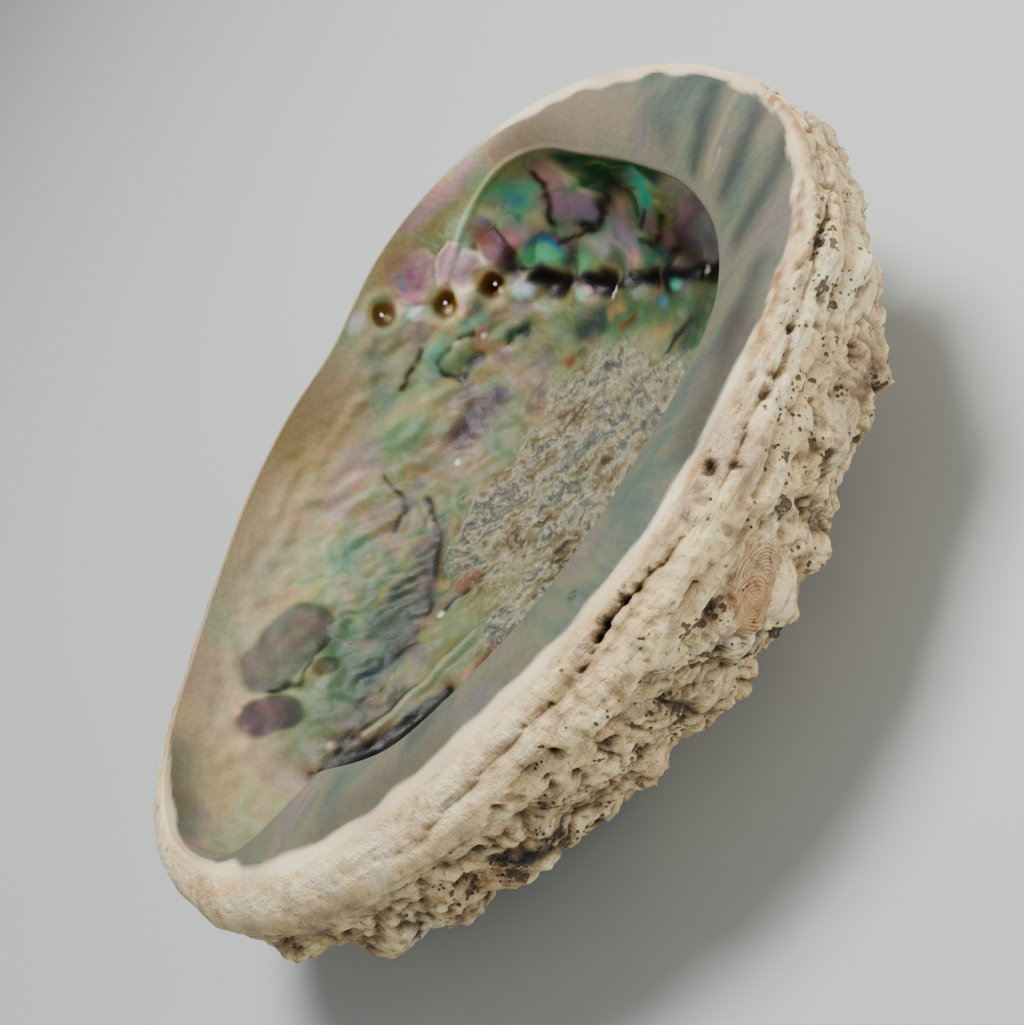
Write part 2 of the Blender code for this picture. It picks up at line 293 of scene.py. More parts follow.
def noise_at(points, size):
    """Smooth noise of one lump size in mm, between about -1 and 1."""
    scaled = (points / size).tolist()
    return np.array([noise.noise(p) for p in scaled])


def warped(points, size, reach):
    """The points pushed about by noise of one size, by up to reach mm."""
    push = [noise.noise_vector(p) for p in (points / size).tolist()]
    return points + reach * np.array(push)


def cells_at(points, size):
    """For cells about size mm across: distances to the nearest two middles, and a number for each cell."""
    found = [noise.voronoi(p) for p in (points / size).tolist()]
    first = np.array([f[0][0] for f in found])
    second = np.array([f[0][1] for f in found])
    middle = np.array([f[1][0][:] for f in found])
    name = np.modf(np.abs(np.sin(middle @ np.array((12.9898, 78.233, 37.719))) * 43758.5453))[0]
    return first, second, name


def knobs_at(points, size, fill):
    """Rounded knobs scattered about size mm apart, 0 to 1; fill is how much of the surface they cover."""
    return smooth(1.0 - cells_at(points, size)[0] / fill)


def bump(points, centre, radius):
    """1 at a centre, falling smoothly to 0 at a radius in mm."""
    return smooth(1.0 - np.linalg.norm(points - np.array(centre), axis=1) / radius)


class View:
    """The camera's place and axes in mm, to turn a pixel of the picture into a ray."""

    def __init__(self):
        azimuth, elevation, roll = (math.radians(a) for a in (CAMERA_AZIMUTH, CAMERA_ELEVATION, CAMERA_ROLL))
        back = Vector((math.cos(elevation) * math.cos(azimuth), math.cos(elevation) * math.sin(azimuth),
                       math.sin(elevation)))
        self.place = Vector(CAMERA_TARGET) + CAMERA_DISTANCE * back
        self.turn = (-back).to_track_quat("-Z", "Y") @ Quaternion((0, 0, 1), roll)
        self.focal_pixels = FOCAL_LENGTH / SENSOR * PICTURE_HEIGHT

    def ray(self, pixel):
        """The direction from the camera through a pixel."""
        x = (pixel[0] - PICTURE_WIDTH / 2) / self.focal_pixels
        y = (PICTURE_HEIGHT / 2 - pixel[1]) / self.focal_pixels
        return self.turn @ Vector((x, y, -1.0)).normalized()


class Finder:
    """Finds the place on the smooth shell that shows at a pixel of the picture."""

    def __init__(self):
        count = 256
        grid = shell_grid(count)[:, ::2] + CENTRE
        rings = grid.shape[1]
        quads = []
        for b in range(count):
            near = b * rings
            far = (b + 1) % count * rings
            quads.extend((near + j, far + j, far + j + 1, near + j + 1) for j in range(rings - 1))
        self.tree = BVHTree.FromPolygons([tuple(p) for p in grid.reshape(-1, 3)], quads)
        self.view = View()

    def place(self, pixel):
        """The place under the pixel, or the nearest one to its ray where the ray just misses the edge."""
        ray = self.view.ray(pixel)
        hit = self.tree.ray_cast(self.view.place, ray)[0]
        if hit is None:
            hit = Vector(CAMERA_TARGET)
            for _ in range(6):
                on_ray = self.view.place + ray * (hit - self.view.place).dot(ray)
                hit = self.tree.find_nearest(on_ray)[0]
        return np.array(hit) - CENTRE


FINDER = Finder()
PORE_ROW = [tuple(FINDER.place(pixel)) for pixel in PORE_PIXELS]


def line_distance(points, line):
    """Distance in mm from the points to a line through places on the shell."""
    line = np.array(line)
    if len(line) == 1:
        return np.linalg.norm(points - line[0], axis=1)
    best = np.full(len(points), 1e9)
    for a, b in zip(line[:-1], line[1:]):
        step = b - a
        share = np.clip(((points - a) @ step) / max(step @ step, 1e-9), 0.0, 1.0)
        best = np.minimum(best, np.linalg.norm(points - a - share[:, None] * step, axis=1))
    return best


def stroke(points, pixels, width, soft=1.0):
    """1 along a stroke through pixels, falling to 0 at width mm from it; soft 0 gives it a sharp edge."""
    distance = line_distance(points, [FINDER.place(p) for p in pixels])
    return smooth((1.0 - distance / width) / max(soft, 0.05))


def blend(colour, tint, amount):
    """The colours taken towards a tint by an amount, 0 to 1 at each point."""
    amount = np.clip(np.broadcast_to(amount, len(colour)), 0.0, 1.0)
    return colour + (np.asarray(tint) - colour) * amount[:, None]


def patched(colour, points, patches, widen, share=1.0):
    """The colours with named patches laid over them, each widened by a factor, at a share of its strength."""
    for _, pixels, width, tint, strength in patches:
        colour = blend(colour, tint, strength * share * stroke(points, pixels, width * widen))
    return colour


def ramp(value, stops):
    """Colours along a list of (value, colour)."""
    places = [s[0] for s in stops]
    return np.stack([np.interp(value, places, [s[1][i] for s in stops]) for i in range(3)], axis=1)


# The direction that folds and the felt of the scar run in
FOLD_BEARING = math.radians(55.0)
FOLD_TURN = np.array(((math.cos(FOLD_BEARING), -math.sin(FOLD_BEARING), 0.0),
                      (math.sin(FOLD_BEARING), math.cos(FOLD_BEARING), 0.0), (0.0, 0.0, 1.0)))

# Colours that noise is turned into
NACRE_RAMP = ((-0.5, PURPLE), (-0.36, MAUVE), (-0.24, LILAC), (-0.12, BEIGE), (0.0, SAGE), (0.1, PALE_SAGE),
              (0.2, SEA_GREEN), (0.3, TEAL), (0.4, LIME), (0.5, PINK))
SATIN_RAMP = ((-0.5, srgb(176, 158, 126)), (-0.1, BEIGE), (0.15, srgb(190, 172, 154)), (0.5, PALE_SAGE))
UNDER_SHELF_RAMP = ((-0.4, DEEP_TEAL), (0.0, TEAL), (0.4, MAUVE))
UNDER_ROW_RAMP = ((-0.4, srgb(40, 72, 70)), (0.0, srgb(84, 116, 96)), (0.4, MAUVE))
FELT_RAMP = ((-0.7, srgb(92, 74, 54)), (-0.4, srgb(144, 130, 108)), (-0.1, srgb(172, 166, 148)),
             (0.15, srgb(214, 210, 196)), (0.4, BLUE_GREY), (0.7, srgb(166, 166, 160)))
PEARLY_RAMP = ((-0.4, PINK), (0.0, LIME), (0.4, SEA_GREEN))
SHELF_RAMP = ((-0.7, SLATE), (-0.3, TEAL_GREY), (0.0, srgb(156, 160, 138)), (0.25, srgb(168, 164, 144)),
              (0.5, LILAC), (0.8, BEIGE))
RIM_RAMP = ((-0.5, BEIGE), (-0.1, CREAM), (0.3, IVORY))
CRUST_RAMP = ((-0.9, TAN), (-0.45, BEIGE), (-0.1, CREAM), (0.3, IVORY), (0.8, srgb(236, 226, 206)))
CHALK_RAMP = ((-0.6, TAN), (-0.3, BEIGE), (0.0, IVORY), (0.5, srgb(226, 218, 200)))
CELL_TINTS = (MAUVE, TEAL, LILAC, SEA_GREEN, ROSE, DEEP_TEAL, GREY, EMERALD, PURPLE, BLUE, SEA_GREEN, MOSS)

# Overall tones: factors on red, green and blue, on the shelf and on the strength of colour
NACRE_TONE = np.array((0.62, 0.59, 0.5))
SHELF_TONE = 0.62
NACRE_SATURATION = 1.3
CRUST_TONE = np.array((1.13, 1.07, 0.9))

# Painted highlights, bright and coloured spots where light glints on the nacre: pixel, half width in mm,
# colour
GLINTS = (
    ((356, 322), 2.2, srgb(232, 222, 226)),
    ((352, 330), 1.2, srgb(190, 220, 200)),
    ((409, 310), 1.5, srgb(150, 214, 180)),
    ((415, 314), 1.5, srgb(226, 222, 232)),
    ((389, 318), 0.8, srgb(222, 196, 130)),
    ((447, 309), 0.9, srgb(228, 196, 150)),
    ((466, 304), 1.5, srgb(236, 210, 190)),
    ((461, 312), 1.2, srgb(226, 180, 150)),
    ((500, 291), 0.8, srgb(240, 216, 180)),
    ((518, 292), 1.6, srgb(180, 226, 200)),
    ((528, 291), 1.5, srgb(224, 220, 234)),
    ((581, 294), 1.3, srgb(170, 220, 190)),
    ((586, 290), 0.9, srgb(230, 190, 200)),
    ((616, 289), 0.9, srgb(240, 240, 240)),
    ((612, 294), 0.7, srgb(236, 236, 236)),
    ((702, 268), 0.9, srgb(240, 236, 228)),
    ((676, 284), 1.2, srgb(60, 170, 150)),
    ((662, 300), 1.4, srgb(50, 100, 120)),
    ((484, 336), 0.6, srgb(232, 226, 210)),
    ((418, 312), 1.8, srgb(206, 214, 206)),
    ((468, 300), 1.6, srgb(220, 196, 176)),
    ((457, 462), 0.7, srgb(236, 232, 236)),
    ((236, 713), 0.7, srgb(226, 160, 96)),
    ((243, 702), 0.6, srgb(206, 156, 100)),
    ((250, 697), 0.6, srgb(206, 156, 100)),
    ((279, 862), 0.9, srgb(232, 232, 228)),
    ((328, 846), 0.6, srgb(222, 222, 216)),
    ((440, 614), 0.8, srgb(214, 216, 190)),
    ((330, 746), 0.8, srgb(190, 150, 90)),
)

# Colour patches of the nacre: name, pixels that each runs through, half width in mm, colour, strength
BOWL_PATCHES = (
    ("lilac streak of the upper rim", ((472, 162), (440, 199), (410, 228)), 2.0, srgb(204, 164, 184), 0.85),
    ("tan fold below it", ((548, 149), (500, 168), (455, 206), (425, 236)), 1.6, TAN, 0.6),
    ("tan corner over the first pore", ((398, 250), (378, 285)), 3.4, TAN, 0.6),
    ("pale green of the upper wall", ((505, 168), (480, 200), (455, 230)), 3.2, srgb(170, 182, 136), 0.55),
    ("teal cell", ((498, 190), (530, 192), (522, 208)), 4.6, srgb(110, 176, 150), 0.8),
    ("teal cell's blue middle", ((513, 196),), 3.0, BLUE, 0.65),
    ("lime cell", ((500, 220),), 2.0, srgb(150, 196, 140), 0.7),
    ("beige cell", ((538, 221),), 3.0, srgb(190, 170, 148), 0.8),
    ("green point", ((519, 219),), 0.9, srgb(86, 110, 70), 0.8),
    ("rose cell", ((475, 231), (488, 246)), 3.0, srgb(140, 100, 94), 0.85),
    ("teal rim of the rose cell", ((461, 232), (466, 250)), 1.4, SEA_GREEN, 0.6),
    ("small rose cell", ((510, 233), (518, 243)), 1.8, srgb(168, 122, 128), 0.8),
    ("blue band", ((528, 246), (545, 241), (556, 244)), 1.2, srgb(58, 92, 150), 0.85),
    ("green under the blue band", ((530, 258), (552, 256)), 3.0, srgb(128, 196, 160), 0.85),
    ("purple point", ((409, 277),), 1.8, srgb(120, 78, 110), 0.85),
    ("blue rim of the purple point", ((396, 276), (402, 288)), 1.2, srgb(90, 110, 140), 0.7),
    ("mauve cell", ((555, 200), (572, 208), (590, 210)), 4.2, srgb(160, 134, 158), 0.9),
    ("mauve cell's upper arm", ((542, 168), (552, 182)), 2.6, srgb(180, 140, 150), 0.85),
    # Under the lip's overhang: emerald nacre, painted dark as painted shade, with black painted shade along
    # the emerald cell's edge
    ("emerald roof", ((560, 158), (605, 160), (650, 170)), 3.4, srgb(6, 76, 54), 0.95),
    ("lime streak of the roof", ((588, 163), (606, 162)), 0.9, srgb(170, 180, 90), 0.6),
    ("dark blue point", ((567, 160),), 1.4, srgb(14, 26, 66), 0.85),
    ("emerald cell", ((590, 170), (606, 176), (612, 190)), 5.2, srgb(4, 56, 38), 0.97),
    ("dark edge of the emerald cell", ((612, 182), (616, 196), (604, 203)), 1.2, BLACK, 0.8),
    ("bright teal cell", ((640, 184), (646, 204)), 3.2, srgb(84, 184, 164), 0.85),
    ("sand cell", ((622, 206),), 3.0, srgb(186, 164, 146), 0.75),
    ("lilac cell", ((618, 226), (628, 240)), 3.6, srgb(164, 160, 180), 0.8),
    ("violet cell", ((649, 222),), 3.0, srgb(160, 124, 150), 0.85),
    ("violet foot", ((664, 238),), 2.4, srgb(160, 120, 150), 0.8),
    ("sage cell", ((594, 230),), 3.0, srgb(150, 176, 150), 0.7),
    ("grey lilac cell", ((600, 246),), 3.2, srgb(176, 162, 168), 0.8),
    ("green cell", ((585, 264),), 3.2, srgb(130, 180, 136), 0.75),
    ("pink and yellow cell", ((634, 256),), 2.4, srgb(206, 158, 160), 0.8),
    ("deep teal cell", ((655, 255), (664, 262)), 2.6, DEEP_TEAL, 0.8),
    ("grey dome", ((676, 186), (680, 208)), 3.8, srgb(160, 150, 150), 0.9),
    # Black painted shade along one side of the grey dome
    ("outline of the grey dome", ((698, 190), (698, 212), (688, 225)), 1.2, BLACK, 0.85),
    ("grey lilac end", ((702, 222), (712, 246)), 4.6, srgb(176, 164, 176), 0.9),
    ("green slope by the pore row", ((690, 300), (650, 312), (610, 330)), 3.6, srgb(110, 156, 130), 0.6),
    ("teal corner under the shelf", ((694, 318), (684, 345)), 3.2, srgb(40, 90, 70), 0.8),
    ("tan arc of the corner", ((678, 350), (676, 338), (686, 324)), 0.8, TAN, 0.8),
    ("rust flake", ((634, 319), (622, 326)), 1.5, srgb(150, 84, 40), 0.85),
    ("sand flake", ((622, 305), (612, 314)), 1.6, srgb(200, 176, 142), 0.7),
    ("blue teal patch", ((598, 326), (580, 336)), 2.4, srgb(44, 84, 92), 0.8),
    ("rust fold", ((580, 354), (566, 364)), 0.9, srgb(140, 88, 50), 0.8),
    ("lilac dome under the row", ((524, 307),), 3.2, srgb(196, 166, 186), 0.8),
    ("pale lobe under the row", ((560, 322), (530, 348)), 4.2, srgb(176, 172, 140), 0.6),
    ("teal under the third pore", ((484, 318), (470, 324)), 2.0, srgb(96, 150, 140), 0.8),
    ("teal pocket", ((512, 336), (528, 330)), 1.8, srgb(90, 134, 120), 0.8),
    ("pink wall under the first pore", ((418, 335), (408, 352)), 2.6, srgb(184, 148, 146), 0.7),
    ("teal lobe", ((430, 358), (446, 340)), 1.8, srgb(116, 164, 150), 0.7),
    ("grey teal dome", ((374, 369),), 5.0, srgb(126, 152, 138), 0.75),
    ("blue oval", ((476, 359),), 1.6, srgb(80, 110, 120), 0.85),
    ("violet flank", ((432, 378),), 1.8, srgb(110, 110, 150), 0.7),
    ("sage lobe", ((445, 392), (420, 398)), 3.4, srgb(170, 182, 150), 0.6),
    ("purple patch", ((460, 437), (478, 417), (496, 400)), 4.2, srgb(96, 62, 92), 0.97),
    ("pink by the purple patch", ((430, 450), (450, 470)), 5.0, PINK, 0.4),
    ("violet point", ((505, 395),), 1.8, srgb(110, 96, 140), 0.6),
    ("green wall patch", ((388, 442), (408, 432)), 4.6, srgb(104, 146, 120), 0.8),
    ("teal edge of the green patch", ((380, 404), (405, 388)), 3.0, TEAL, 0.5),
    ("pink wall streak", ((335, 500), (368, 460)), 4.4, srgb(176, 138, 140), 0.7),
    ("mauve wall patch", ((350, 470), (372, 445)), 4.0, LILAC, 0.6),
    ("rose lobe", ((362, 512), (388, 520), (395, 545)), 4.0, srgb(176, 138, 124), 0.65),
    ("green by the long patch", ((340, 560), (362, 548)), 3.8, TEAL, 0.5),
    ("green floor streak", ((425, 560), (405, 590), (385, 620)), 4.4, srgb(62, 96, 60), 0.8),
    ("mauve floor streak", ((436, 540), (430, 580), (424, 600)), 3.4, srgb(112, 84, 88), 0.8),
    ("deep green floor", ((415, 610), (392, 640), (400, 600)), 4.2, srgb(40, 76, 48), 0.85),
    ("teal floor", ((345, 640), (352, 690), (372, 668)), 5.0, srgb(78, 126, 108), 0.8),
    ("blue of the floor", ((366, 676), (385, 664), (400, 655)), 2.8, srgb(26, 64, 78), 0.9),
    ("navy points", ((369, 638), (372, 642)), 1.6, srgb(70, 88, 110), 0.7),
    ("lower sage field", ((296, 750), (316, 715), (340, 695)), 5.0, srgb(104, 132, 108), 0.75),
    ("brown by the sage field", ((300, 770), (286, 752)), 2.6, srgb(150, 132, 112), 0.5),
    ("lime ridges", ((452, 632), (488, 598), (520, 575)), 3.4, srgb(176, 172, 138), 0.7),
    ("rose ridge", ((425, 622), (452, 596), (478, 575)), 1.6, srgb(160, 116, 104), 0.7),
    ("grey wrinkles", ((336, 748), (366, 722), (400, 695)), 4.2, srgb(96, 92, 80), 0.8),
    ("beige folds", ((462, 642), (440, 660)), 3.2, srgb(160, 150, 126), 0.7),
    ("rust edge over the fold", ((500, 645), (478, 662)), 1.0, srgb(130, 90, 72), 0.8),
)

# The long patches of the left wall, thin layers of nacre: name, pixels, half width in mm, colour and the
# edge's colour, and how many pixels aside the edge shows
BLISTER_PATCHES = (
    ("large blister", ((262, 672), (284, 645), (302, 628)), 6.2, srgb(116, 110, 108), srgb(84, 78, 44)),
    ("small lobe", ((322, 668),), 2.4, srgb(118, 104, 76), OLIVE),
    ("small blister", ((254, 722), (276, 714)), 4.7, srgb(96, 82, 88), srgb(104, 88, 52)),
)
EDGE_ASIDE = (9, -3)

# Colour patches of the shelf, given as those of the nacre
SHELF_PATCHES = (
    ("grey green lower end", ((180, 780), (230, 780), (300, 770)), 12.0, srgb(150, 150, 134), 0.85),
    ("pink cream of the upper shelf", ((480, 170), (560, 120), (620, 120)), 7.0, srgb(196, 172, 152), 0.7),
    ("grey patch of the upper shelf", ((650, 110), (665, 130)), 4.0, SLATE, 0.55),
    ("first slate streak", ((655, 95), (672, 150)), 3.0, SLATE, 0.5),
    ("second slate streak", ((712, 90), (700, 140), (694, 165)), 3.4, srgb(72, 88, 94), 0.8),
    ("third slate streak", ((755, 110), (742, 150), (725, 190)), 3.6, srgb(78, 92, 98), 0.8),
    ("fourth slate streak", ((788, 140), (760, 200), (740, 235)), 4.0, srgb(80, 94, 100), 0.8),
    ("cream ray", ((738, 92), (712, 150), (708, 175)), 1.2, CREAM, 0.55),
    ("white ray", ((722, 148), (712, 172)), 0.6, PEARL, 0.7),
    ("lilac side", ((770, 240), (745, 300)), 4.0, LILAC, 0.5),
    ("slate side", ((760, 262), (735, 320), (720, 350)), 3.6, srgb(92, 100, 100), 0.7),
    ("lilac of the side's upper middle", ((715, 355), (700, 385)), 4.0, LILAC, 0.55),
    ("grey side", ((738, 325), (714, 395), (692, 440)), 6.0, srgb(98, 94, 90), 0.75),
    ("teal side", ((655, 450), (630, 490), (600, 545)), 3.8, TEAL_GREY, 0.7),
    ("teal streak of the side", ((668, 430), (650, 462), (622, 500)), 1.4, srgb(98, 146, 140), 0.6),
    ("sage side", ((560, 600), (520, 650)), 5.0, SAGE, 0.4),
    ("lilac patch of the side", ((482, 690), (458, 715)), 5.0, LILAC, 0.75),
    ("moss under the lilac patch", ((500, 672), (520, 660)), 3.0, MOSS, 0.4),
    ("sage fan", ((430, 750), (380, 790), (330, 830)), 7.0, srgb(132, 128, 112), 0.75),
    ("dark ray of the fan", ((320, 790), (300, 822)), 1.2, TEAL_GREY, 0.7),
    ("second ray of the fan", ((345, 775), (322, 800), (292, 838)), 1.0, MOSS, 0.5),
    ("blue grey fan", ((240, 800), (215, 835), (240, 860)), 7.0, srgb(132, 140, 138), 0.6),
    ("pink patch of the fan", ((236, 790), (246, 800)), 3.4, srgb(166, 128, 126), 0.7),
    ("moss corner", ((175, 806), (200, 790)), 3.6, MOSS, 0.55),
    ("pink corner", ((160, 800), (175, 792)), 1.8, ROSE, 0.5),
)

# Dark creases of the bowl: pixels that each runs through, half width in mm, depth in mm
CREASES = (
    (((536, 172), (550, 208), (552, 225)), 0.9, 0.7),
    (((598, 203), (604, 214), (596, 224), (578, 226)), 1.1, 0.9),
    (((560, 240), (580, 236), (592, 228)), 0.7, 0.5),
    (((663, 216), (662, 236), (652, 246), (640, 240)), 0.7, 0.6),
    (((640, 226), (644, 212)), 0.6, 0.5),
    (((668, 250), (678, 250), (692, 262)), 1.2, 0.9),
    (((510, 254), (512, 264), (506, 270)), 1.4, 1.3),
    (((475, 334), (458, 340), (437, 361), (443, 372), (460, 375)), 0.7, 0.8),
    (((480, 354), (470, 364), (462, 376)), 1.4, 1.3),
    (((535, 327), (515, 334), (508, 344)), 0.8, 0.8),
    (((522, 267), (563, 277), (593, 283), (634, 284)), 0.7, 0.6),
    (((605, 368), (613, 365)), 0.6, 0.5),
    (((402, 388), (412, 372), (420, 352)), 0.7, 0.5),
    (((668, 350), (676, 335), (688, 322)), 0.8, 0.7),
    (((438, 618), (452, 600), (470, 590)), 0.7, 0.6),
    (((385, 478), (400, 492), (408, 512), (396, 530)), 0.6, 0.5),
    (((428, 500), (440, 540), (430, 580), (425, 610)), 0.8, 0.7),
    (((416, 629), (394, 654)), 1.0, 0.7),
    (((420, 640), (400, 652)), 0.6, 0.5),
    (((356, 702), (378, 686)), 0.6, 0.4),
    (((337, 752), (352, 740), (368, 722)), 0.6, 0.7),
    (((345, 765), (340, 748), (350, 730)), 0.6, 0.7),
    (((360, 755), (372, 735), (390, 712)), 0.7, 0.8),
    (((312, 776), (300, 796), (287, 816)), 0.8, 0.5),
    (((322, 776), (306, 800)), 0.6, 0.4),
    (((270, 690), (300, 684), (312, 660), (328, 640)), 0.7, 0.4),
)

# The gap beside the lip's lower end, with painted shade near black in it, and the pearly fold along it, with
# a painted highlight
GAP = ((324, 769), (352, 757), (378, 745), (402, 728), (428, 706), (446, 690))
FOLD = ((366, 736), (390, 716), (416, 693), (446, 664), (476, 636))

# Painted shade on the wall above the row of pores, darker teal below it that is partly painted shade, and a
# small brown ring on the shelf
SHADED_ROW = ((540, 262), (600, 262), (650, 262), (700, 258))
UNDER_ROW = ((705, 290), (650, 302), (600, 316), (560, 330))
BROWN_RING = (572, 595)

# Middle of the bowl's lower end, where the shelf's paint runs on down the wall
LOWER_END = ((170, 790), (225, 790), (290, 780))

# Mouths of the pores that are closed, brownish, with painted shade near black in each dimple: pixels, half
# width in mm
CLOSED_MOUTHS = (
    (((538, 278), (562, 284)), 2.3),
    (((588, 280), (612, 285)), 2.3),
    (((630, 279), (656, 276)), 1.9),
    (((670, 278), (694, 271), (714, 269)), 2.0),
)


def pore_relief(points):
    """A funnel at each pore of the row, with a smooth swelling between each and the next."""
    height = np.zeros(len(points))
    for number, centre in enumerate(PORE_ROW):
        height -= PORE_DEPTHS[number] * bump(points, centre, 6.0)
    for a, b in zip(PORE_ROW[:-1], PORE_ROW[1:]):
        height += bump(points, (np.array(a) + np.array(b)) / 2, 5.0)
    return height


def scar_area(points):
    """1 on the rough muscle scar in the middle of the bowl, 0 outside it."""
    across = (points[:, 0] - SCAR_CENTRE[0]) / SCAR_REACH[0]
    along = (points[:, 1] - SCAR_CENTRE[1]) / SCAR_REACH[1]
    return smooth((1.0 - np.hypot(across, along)) * 3.5 + 0.9 * noise_at(points, 9.0))


def above_row(points, bearing):
    """1 on the spire side of the row of pores, 0 on the side of the scar."""
    row = np.array(PORE_ROW)[::-1]
    row_bearing = np.degrees(np.arctan2(row[:, 1], row[:, 0]))
    row_radius = np.interp(bearing, row_bearing, np.hypot(row[:, 0], row[:, 1]))
    return smooth((np.hypot(points[:, 0], points[:, 1]) - row_radius + 1.5) / 3.0)


def nacre_relief(points, bearing):
    """How far the bowl's surface stands in from the smooth form, in mm."""
    deep = smooth((-8.0 - points[:, 2]) / 8.0)
    scar = scar_area(points)
    hammered = window(bearing, *KNOBBLY_SIDE) * deep * (1.0 - scar)
    height = deep * 0.5 * noise_at(points, 16.0)
    height += hammered * above_row(points, bearing) * (1.4 * knobs_at(points, 9.0, 0.8) - 0.6)
    height += scar * (0.8 + 0.9 * noise_at(points, 7.0))
    height += pore_relief(points)
    for centre, radius, rise in BLISTERS:
        height += rise * smooth(2.0 * bump(points, centre, radius))
    return height


def crust_relief(points, bearing):
    """How far the crust stands out from the smooth back, in mm; the thin side is smoother."""
    thick = window(bearing, *THICK_CRUST)
    below_band = smooth((-points[:, 2] - 6.0) / 8.0)
    rough = 0.35 + 0.65 * thick
    height = 1.4 * noise_at(points, 17.0) + 1.4 * noise_at(points, 9.0)
    height += 3.6 * knobs_at(points + 40.0, 12.0, 0.7) - 1.0
    height *= rough * (0.2 + 0.8 * below_band)
    ledge = smooth((points[:, 2] + 11.0) / 3.0) * smooth((-2.0 - points[:, 2]) / 3.0)
    height += 1.8 * ledge * window(bearing, 300.0, 325.0, 15.0, 30.0)
    for centre, radius, rise in GROWTHS:
        height += rise * bump(points, centre, radius)
    return np.maximum(height, -1.0)


def cell_paint(skin, colour, scar):
    """The hammered cells on the spire's side: a tint for each, with painted shade along their edges here and
    there.
    """
    points = skin.smooth_points
    celled = window(skin.bearing, *CELLED_SIDE) * smooth((-6.0 - points[:, 2]) / 8.0) * (1.0 - scar)
    celled = celled * above_row(points, skin.bearing)
    first, second, name = cells_at(points + 1.6 * skin.wobble, CELL_SIZE)
    tints = np.array(CELL_TINTS)[(name * len(CELL_TINTS)).astype(int)]
    colour = blend(colour, 0.8 * tints, 0.85 * celled * smooth(4.0 * (second - first)))
    # Painted shade: dark between the hammered lumps, on some edges only
    edges = smooth(1.0 - (second - first) / 0.14) * smooth(0.6 + 2.0 * noise_at(points + 3.0, 8.0))
    return blend(colour, DARK, 0.7 * celled * edges)


def scar_felt(skin):
    """Colours of the muscle scar, streaked along the folds."""
    grain = skin.smooth_points @ FOLD_TURN * np.array((0.35, 1.0, 1.0)) + 2.0 * skin.wobble
    value = 0.8 * noise_at(grain, 3.4) + 0.6 * noise_at(grain, 1.1) + 0.5 * noise_at(skin.smooth_points, 9.0)
    return ramp(value, FELT_RAMP)


def blister_paint(skin, colour):
    """The long patches of the left wall, each with a coloured edge to one side."""
    points = skin.smooth_points + 0.4 * skin.wobble
    for _, pixels, width, tint, edge in BLISTER_PATCHES:
        x, y = pixels[0]
        aside = FINDER.place((x + EDGE_ASIDE[0], y + EDGE_ASIDE[1])) - FINDER.place((x, y))
        colour = blend(colour, edge, 0.8 * stroke(points - aside, pixels, width, 0.3))
        colour = blend(colour, DEEP_TEAL, 0.6 * stroke(points - 0.6 * aside, pixels, width, 0.2))
        colour = blend(colour, tint, 0.95 * stroke(points, pixels, width * 1.08, 0.45))
    return colour


def crease_paint(skin, colour):
    """Dark broken lines along the creases, in a brown fringe."""
    points = skin.smooth_points + 0.9 * skin.wobble
    broken = smooth(1.1 + 1.6 * noise_at(skin.smooth_points, 2.6))
    for pixels, width, _ in CREASES:
        colour = blend(colour, BROWN, 0.5 * broken * stroke(points, pixels, width * 2.4))
        colour = blend(colour, BLACK, 0.9 * broken * stroke(points, pixels, width * 1.4))
    return colour


def bowl_paint(skin):
    """Colours of the bowl, from the floor up to the lip or to the bare rim."""
    points = skin.smooth_points
    z = points[:, 2]
    drift = warped(points, 16.0, 7.0)
    value = 0.62 * noise_at(drift, 13.0) + 0.3 * noise_at(drift + 90.0, 5.0)
    colour = blend(ramp(value, NACRE_RAMP), BEIGE, 0.3)

    wall = window(skin.bearing, *SATIN_WALL) * smooth((z + 32.0) / 16.0)
    satin = ramp(noise_at(drift + 30.0, 26.0), SATIN_RAMP)
    colour = blend(colour, satin, wall * (0.96 - 0.2 * smooth(2.2 * noise_at(points + 7.0, 18.0))))

    scar = scar_area(points + 4.0 * skin.wobble)
    colour = cell_paint(skin, colour, scar)
    under_shelf = window(skin.bearing, 285.0, 320.0, 60.0, 100.0) * smooth((z + 40.0) / 16.0)
    colour = blend(colour, ramp(value, UNDER_SHELF_RAMP), 0.55 * under_shelf)
    colour = blend(colour, scar_felt(skin), 0.92 * scar)

    # Painted shade on the wall above the row of pores
    shade = stroke(points + skin.wobble, SHADED_ROW, 6.0)
    colour = blend(colour, srgb(30, 66, 58), 0.7 * shade)
    # Below the row: darker teal paint, partly painted shade
    under_row = stroke(points + 2.0 * skin.wobble, UNDER_ROW, 6.5)
    colour = blend(colour, ramp(value, UNDER_ROW_RAMP), 0.75 * under_row)
    colour = patched(colour, points + 1.2 * skin.wobble, BOWL_PATCHES, 1.5)
    return crease_paint(skin, blister_paint(skin, colour))


def gap_paint(skin, colour):
    """A brown fringe and painted shade near black in the gap between the lip's lower end and the pearly fold
    beside it, and a painted highlight along the fold.
    """
    points = skin.smooth_points + 0.4 * skin.wobble
    painted_gap_shade = srgb(4, 4, 4)
    colour = blend(colour, srgb(110, 88, 60), 0.8 * stroke(points, GAP, 3.4))
    colour = blend(colour, painted_gap_shade, stroke(points, GAP[1:-1], 2.6, 0.4))
    colour = blend(colour, painted_gap_shade, stroke(points, GAP, 1.5, 0.4))
    return blend(colour, srgb(214, 208, 196), 0.9 * stroke(points + 0.5 * skin.wobble, FOLD, 1.5))


